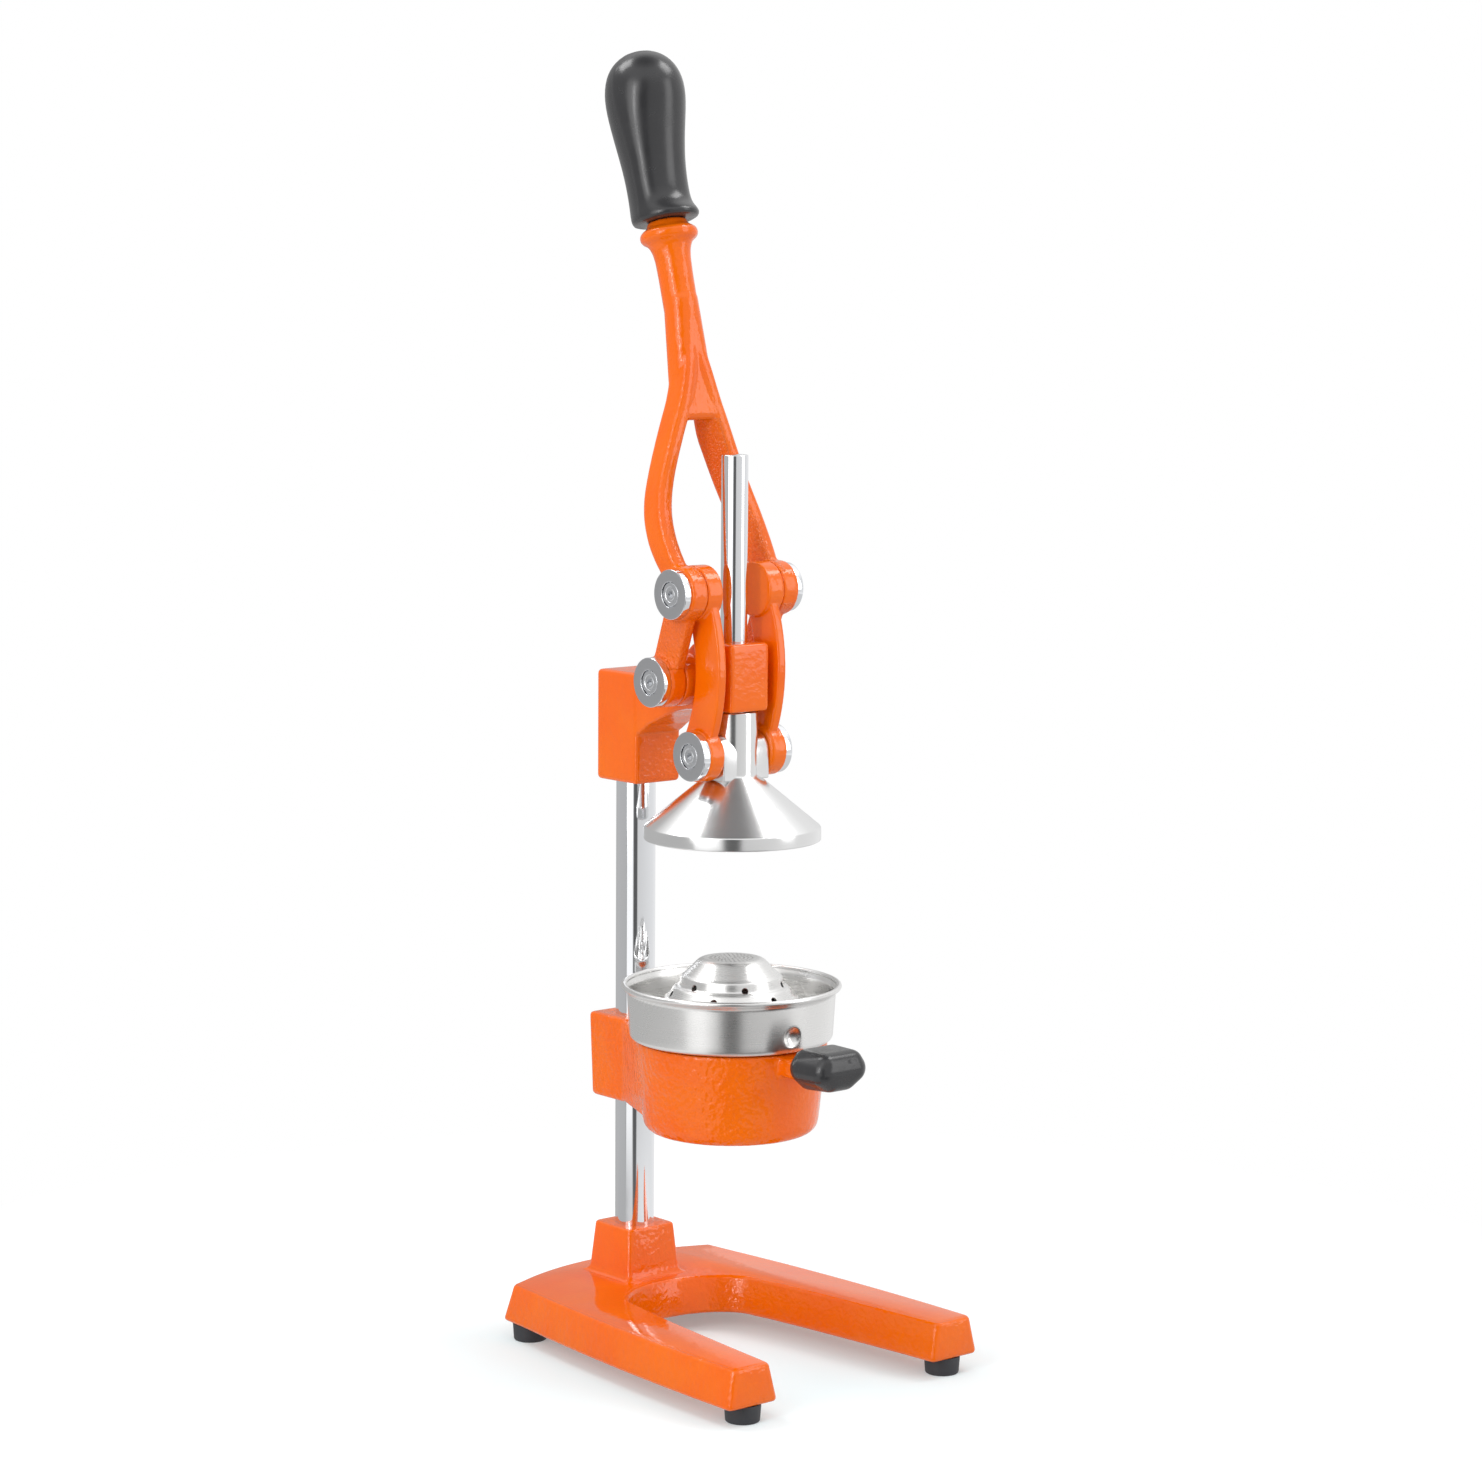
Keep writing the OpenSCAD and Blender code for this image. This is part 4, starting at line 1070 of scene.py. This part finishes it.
# %% Hand grip
GRIP_SEAT = 8.5
# each row is a height, the half width, and the depth before and behind the axis
grip_sections = [(0.0, 16.6, 17.8, 19.0), (0.5, 17.6, 19.2, 20.2), (2.4, 18.6, 20.5, 21.2),
                 (5.4, 18.3, 18.0, 21.7), (8.4, 17.9, 14.6, 22.0), (12, 17.5, 12.7, 22.1),
                 (18, 17.4, 12.1, 22.1), (24.5, 17.5, 12.2, 22.2), (30, 17.7, 12.7, 22.7),
                 (35.5, 18, 13.5, 23.2), (44.5, 19.2, 15, 24), (53.5, 20.6, 17.2, 24.6),
                 (62, 22, 19.8, 24.8), (70, 22.8, 21.9, 24.7), (77, 22.6, 22.5, 23.9),
                 (83, 21.3, 21.5, 22.2), (88, 19.1, 19.4, 20.1), (92, 16.0, 16.3, 17.0),
                 (95, 12.3, 12.6, 13.2), (97, 8.2, 8.4, 8.9), (97.9, 4.4, 4.5, 4.8)]
GRIP_POINTS = 72
grip_rings = []
for height, half, front, back in grip_sections:
    ring = []
    for i in range(GRIP_POINTS):
        a = 2 * math.pi * i / GRIP_POINTS
        depth = front if math.sin(a) < 0 else back
        seam = 0.28 if i in (0, GRIP_POINTS // 2) else 0.0
        ring.append(((half + seam) * math.cos(a), depth * math.sin(a), height + GRIP_SEAT))
    grip_rings.append(ring)
hand_grip = loft(grip_rings)
modify(hand_grip, "SUBSURF", levels=1, render_levels=1)
at_collar(hand_grip)
settle(hand_grip, "hand_grip", "lever", "grip_plastic", grip_plastic, "lever_grip", angle=70)

# %% [markdown]
# ## Links
# Two bowed links join the lever's upper pins to the cone. Each has a round head with a step
# on its inner face, a flat bowed shank with crisp edges, and a round eye below.

# %% Links
BOW_Y, BOW_Z, BOW_R, SHANK_W = column_y - 4.4, 396.0, 99.5, 21.0


def shank_edge(radius, first_z, last_z):
    """One long edge of the shank, bowed about the common centre, as (y, z)."""
    edge = []
    for k in range(21):
        z = first_z + (last_z - first_z) * k / 20
        a = math.pi - math.asin((z - BOW_Z) / radius)
        edge.append((BOW_Y + radius * math.cos(a), z))
    return edge


shank_side = (shank_edge(BOW_R, lower_z + 2, crank_z - 2)
              + shank_edge(BOW_R - SHANK_W, crank_z - 2, lower_z + 2))
shank = loft([[(x, y, z) for y, z in shank_side] for x in (18.9, 24.6)])
soften(shank, 0.9)
link_head = rod_x(17.0, 27.5, 15.5, crank_y, crank_z, 96)
eye_profile = rounded([(0, 0), (13.2, 0), (14.7, 1.5), (14.7, 10.5), (0, 10.5)], 0.5)
link_eye = along_x(lathe(eye_profile, 96), 17.0, lower_y, lower_z)
link_right = cast_together([shank, link_head, link_eye], 0.62, 2)
cut(link_right, rod_x(19.6, 32, 6.06, crank_y, crank_z), rod_x(10, 32, 6.0, lower_y, lower_z))
link_left = mirrored(link_right)
for link, word in ((link_right, "right"), (link_left, "left")):
    mark_skin(link, lambda x, y, z: 0.05, lambda x, y, z: 0.25)
    settle(link, "bowed_link_" + word, "link_" + word, "orange_enamel", enamel,
           "link_" + word, angle=50)

# %% [markdown]
# ## Press cone
# The cone is an aluminium casting turned bright all over: a thin shell with an upright band
# at its rim, a round hub, and a lug on each side that the links push on.

# %% Press cone
RIM_Z, BAND, NECK_Z = 300.1, 7.2, 337.0
HUB_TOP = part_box("press_cone")[1].z / MM
shell = rounded([(4, NECK_Z - 7), (12, NECK_Z - 7), (46.5, RIM_Z + BAND - 2), (46.5, RIM_Z),
                 (50, RIM_Z), (50, RIM_Z + BAND), (14, NECK_Z), (14, HUB_TOP), (7.6, HUB_TOP),
                 (7.6, NECK_Z), (4, NECK_Z)],
                [0, 1, 1, 0.5, 0.7, 0.9, 1.6, 0.9, 0.3, 0, 0], 4, closed=True)
cone = put(lathe(shell, 192, closed=True), 0, press_y, 0)
lug_side = [(lower_y - 12, NECK_Z - 2.4), (lower_y + 12, NECK_Z - 2.4)]
lug_side += arc((lower_y, lower_z), 12, 0, 180, 28)
lugs = loft([[(x, y, z) for y, z in lug_side] for x in (-16.6, 16.6)])
soften(lugs, 0.8)
settle(join(cone, lugs), "press_cone_turned", "plunger", "aluminium", aluminium,
       "press_cone", angle=35)

# %% [markdown]
# ## The pieces that stay as drawn
# Bolts, bushes, pins and studs are right as they are in the drawing. They only get their
# finish, which takes the place of the plain one they came with.

# %% Finishes of the drawn pieces
drawn = {"steel": steel, "black_steel": black_steel, "brass": brass, "rubber": rubber,
         "chrome": chrome, "orange_enamel": enamel, "stainless": stainless,
         "aluminium": aluminium, "grip_plastic": grip_plastic}
slot_of = {part["node"]: part["material_slot"] for part in frame["record"]["subparts"]}
for name, obj in frame["nodes"].items():
    for material_slot in obj.material_slots:
        material_slot.material = drawn[slot_of[name]]
print("finished", len(frame["nodes"]), "drawn pieces")

# %% [markdown]
# ## Studio
# The press stands on a round white floor that fades into a white background, so that only
# the soft shadow under the base shows. Near the base the floor is painted darker and cooler.
# This painted shade deepens the shadow there and cancels the orange light that the enamel
# throws on it. Reflections look through the floor, to the room's own levels.

# %% Floor
FLOOR_R = 0.62
deselect()
bpy.ops.mesh.primitive_circle_add(vertices=96, radius=FLOOR_R, fill_type="NGON")
floor = bpy.context.object
floor.name = "studio_floor"
floor_paint = bpy.data.materials.new("studio_white")
floor_paint.use_nodes = True
tree = floor_paint.node_tree
tree.nodes.clear()
out = tree.nodes.new("ShaderNodeOutputMaterial")
place = tree.nodes.new("ShaderNodeTexCoord")
reach = add(tree, "ShaderNodeVectorMath", {0: place.outputs["Object"]}, operation="LENGTH")
# painted shade: the floor colour is darker and cooler near the base, to deepen the shadow and
# cancel the enamel's orange bounce light
painted_shade_tint = add(tree, "ShaderNodeMix", {0: spread(tree, reach.outputs["Value"], 0.10, 0.26, 0, 1),
           6: (0.62, 0.73, 0.75, 1), 7: (0.80, 0.80, 0.80, 1)}, data_type="RGBA")
matt = add(tree, "ShaderNodeBsdfDiffuse", {"Color": painted_shade_tint.outputs[2]})
glow = add(tree, "ShaderNodeEmission", {"Color": (1, 1, 1, 1), "Strength": 0.26})
none = add(tree, "ShaderNodeEmission", {"Color": (0, 0, 0, 1), "Strength": 0.0})
white = add(tree, "ShaderNodeEmission", {"Color": (1, 1, 1, 1), "Strength": 1.0})
path = tree.nodes.new("ShaderNodeLightPath")
seen = add(tree, "ShaderNodeMixShader", {0: path.outputs["Is Camera Ray"], 1: none.outputs[0],
           2: glow.outputs[0]})
near = add(tree, "ShaderNodeAddShader", {0: matt.outputs[0], 1: seen.outputs[0]})
fade = spread(tree, reach.outputs["Value"], 0.30, FLOOR_R - 0.04, 0, 1)
fade = maths(tree, "MULTIPLY", fade, path.outputs["Is Camera Ray"])
total = add(tree, "ShaderNodeMixShader", {0: fade, 1: near.outputs[0], 2: white.outputs[0]})
clear = tree.nodes.new("ShaderNodeBsdfTransparent")
total = add(tree, "ShaderNodeMixShader", {0: path.outputs["Is Glossy Ray"], 1: total.outputs[0],
            2: clear.outputs[0]})
tree.links.new(total.outputs[0], out.inputs["Surface"])
floor.data.materials.append(floor_paint)
print("floor ready")

# %% [markdown]
# A mirror-like column shows the whole room, so the room matters. The world has a second,
# banded brightness that only reflections see: a narrow dark band where the photographer
# stands, a white panel to its left, a grey wall further left and a pale wall to the right.
# Lower rings of the room, which tapered walls see, get their own levels. Diffuse light gets
# an even white, and the camera sees plain white.

# %% World
CAMERA_SIDE, LEFT_SIDE = (-0.645, -0.765, 0.0), (-0.765, 0.645, 0.0)
world = bpy.data.worlds.new("studio")
bpy.context.scene.world = world
world.use_nodes = True
tree = world.node_tree
tree.nodes.clear()
out = tree.nodes.new("ShaderNodeOutputWorld")
path = tree.nodes.new("ShaderNodeLightPath")
aim = tree.nodes.new("ShaderNodeTexCoord").outputs["Generated"]
toward = add(tree, "ShaderNodeVectorMath", {0: aim, 1: CAMERA_SIDE}, operation="DOT_PRODUCT")
leftward = add(tree, "ShaderNodeVectorMath", {0: aim, 1: LEFT_SIDE}, operation="DOT_PRODUCT")
angle = maths(tree, "ARCTAN2", leftward.outputs["Value"], toward.outputs["Value"])
turn = spread(tree, angle, -math.pi, math.pi, 0, 1)


def banded(bands):
    """A ring of brightness round the horizon, from (degrees to the left, level) stops."""
    ramp = add(tree, "ShaderNodeValToRGB", {0: turn})
    while len(ramp.color_ramp.elements) < len(bands):
        ramp.color_ramp.elements.new(0.5)
    for stop, (degrees, level) in zip(ramp.color_ramp.elements, bands):
        stop.position = degrees / 360 + 0.5
        stop.color = (level, level, level, 1)
    return ramp.outputs[0]


walls = banded(((-180, 0.62), (-150, 0.80), (-90, 0.72), (-14, 0.62), (-9, 0.10), (9, 0.10),
                (16, 1.0), (50, 1.0), (52, 0.25), (56, 0.44), (120, 0.46), (180, 0.40)))
skirt = banded(((-180, 0.75), (-90, 0.85), (-14, 0.72), (-8, 0.12), (6, 0.12), (13, 0.66),
                (32, 0.60), (56, 0.42), (180, 0.42)))
ground = banded(((-180, 0.55), (-60, 0.62), (-44, 0.12), (22, 0.12), (32, 0.9), (180, 0.55)))
high = add(tree, "ShaderNodeSeparateXYZ", {0: aim}).outputs[2]


def blend(factor, first, second):
    """Between two colours of the room."""
    return add(tree, "ShaderNodeMix", {0: factor, 6: first, 7: second},
               data_type="RGBA").outputs[2]


sides = blend(spread(tree, high, -0.33, -0.27, 1, 0), walls, skirt)
sides = blend(spread(tree, high, -0.42, -0.36, 1, 0), sides, ground)
sides = blend(spread(tree, high, -0.9, -0.6, 1, 0), sides, (0.6, 0.6, 0.6, 1))
sides = blend(spread(tree, high, 0.45, 0.68, 0, 1), sides, (1.0, 1.0, 1.0, 1))
lid = blend(spread(tree, high, 0.86, 0.985, 0, 1), sides, (0.18, 0.18, 0.18, 1))
room = add(tree, "ShaderNodeBackground", {"Color": lid, "Strength": 1.2})
soft = add(tree, "ShaderNodeBackground", {"Color": (1, 1, 1, 1), "Strength": 0.74})
white = add(tree, "ShaderNodeBackground", {"Color": (1, 1, 1, 1), "Strength": 1.0})
inner = add(tree, "ShaderNodeMixShader", {0: path.outputs["Is Glossy Ray"], 1: soft.outputs[0],
            2: room.outputs[0]})
direct = maths(tree, "MAXIMUM", path.outputs["Is Camera Ray"],
               path.outputs["Is Transmission Ray"])
mixed = add(tree, "ShaderNodeMixShader", {0: direct, 1: inner.outputs[0], 2: white.outputs[0]})
tree.links.new(mixed.outputs[0], out.inputs["Surface"])
print("world ready")


# %% Lamps
def soft_lamp(name, place, target, width, height, power):
    """A rectangular lamp that looks at a point."""
    deselect()
    bpy.ops.object.light_add(type="AREA", location=place)
    lamp = bpy.context.object
    lamp.name = name
    lamp.data.shape = "RECTANGLE"
    lamp.data.size, lamp.data.size_y = width, height
    lamp.data.energy = power
    aim = Vector(target) - Vector(place)
    lamp.rotation_euler = aim.to_track_quat("-Z", "Y").to_euler()
    return lamp


soft_lamp("left_softbox", (-1.6, -0.35, 0.85), (0, 0, 0.35), 1.1, 1.5, 7.4)
soft_lamp("right_softbox", (1.1, -1.5, 0.9), (0, 0, 0.35), 0.7, 1.5, 7)
soft_lamp("strip_light", (-1.93, -0.62, 1.0), (0, 0, 0.5), 0.16, 1.3, 6)
soft_lamp("top_left_light", (-0.54, 0.94, 1.9), (0, 0, 0.3), 0.7, 0.7, 9)
soft_lamp("top_right_light", (0.98, -0.46, 1.9), (0, 0, 0.3), 0.7, 0.7, 9)
print("lamps ready")

# %% [markdown]
# ## Camera
# The camera stands to the front left, a little above the head of the press, with a long
# lens. Its place was fitted to the feet, the column and the pivots in the photograph.

# %% Camera
CAMERA_AT = Vector((-1.41612, (-1774.39 + column_y) * MM, 0.63918))
LOOK = Vector((0.63917, 0.75839, -0.12770)).normalized()
ROLL = math.radians(0.405)
FOCAL_PX, IMAGE_PX = 3953.65, 1482
right = LOOK.cross(Vector((0, 0, 1))).normalized()
up = right.cross(LOOK)
right, up = (math.cos(ROLL) * right + math.sin(ROLL) * up,
             -math.sin(ROLL) * right + math.cos(ROLL) * up)
turned = Matrix((right, up, -LOOK)).transposed()
deselect()
bpy.ops.object.camera_add(location=CAMERA_AT, rotation=turned.to_euler())
camera = bpy.context.object
camera.name = "photo_camera"
camera.data.sensor_width = 36.0
camera.data.lens = 36.0 * FOCAL_PX / IMAGE_PX
bpy.context.scene.camera = camera
bpy.context.scene.view_settings.view_transform = "Standard"
print(f"lens {camera.data.lens:.1f} mm")
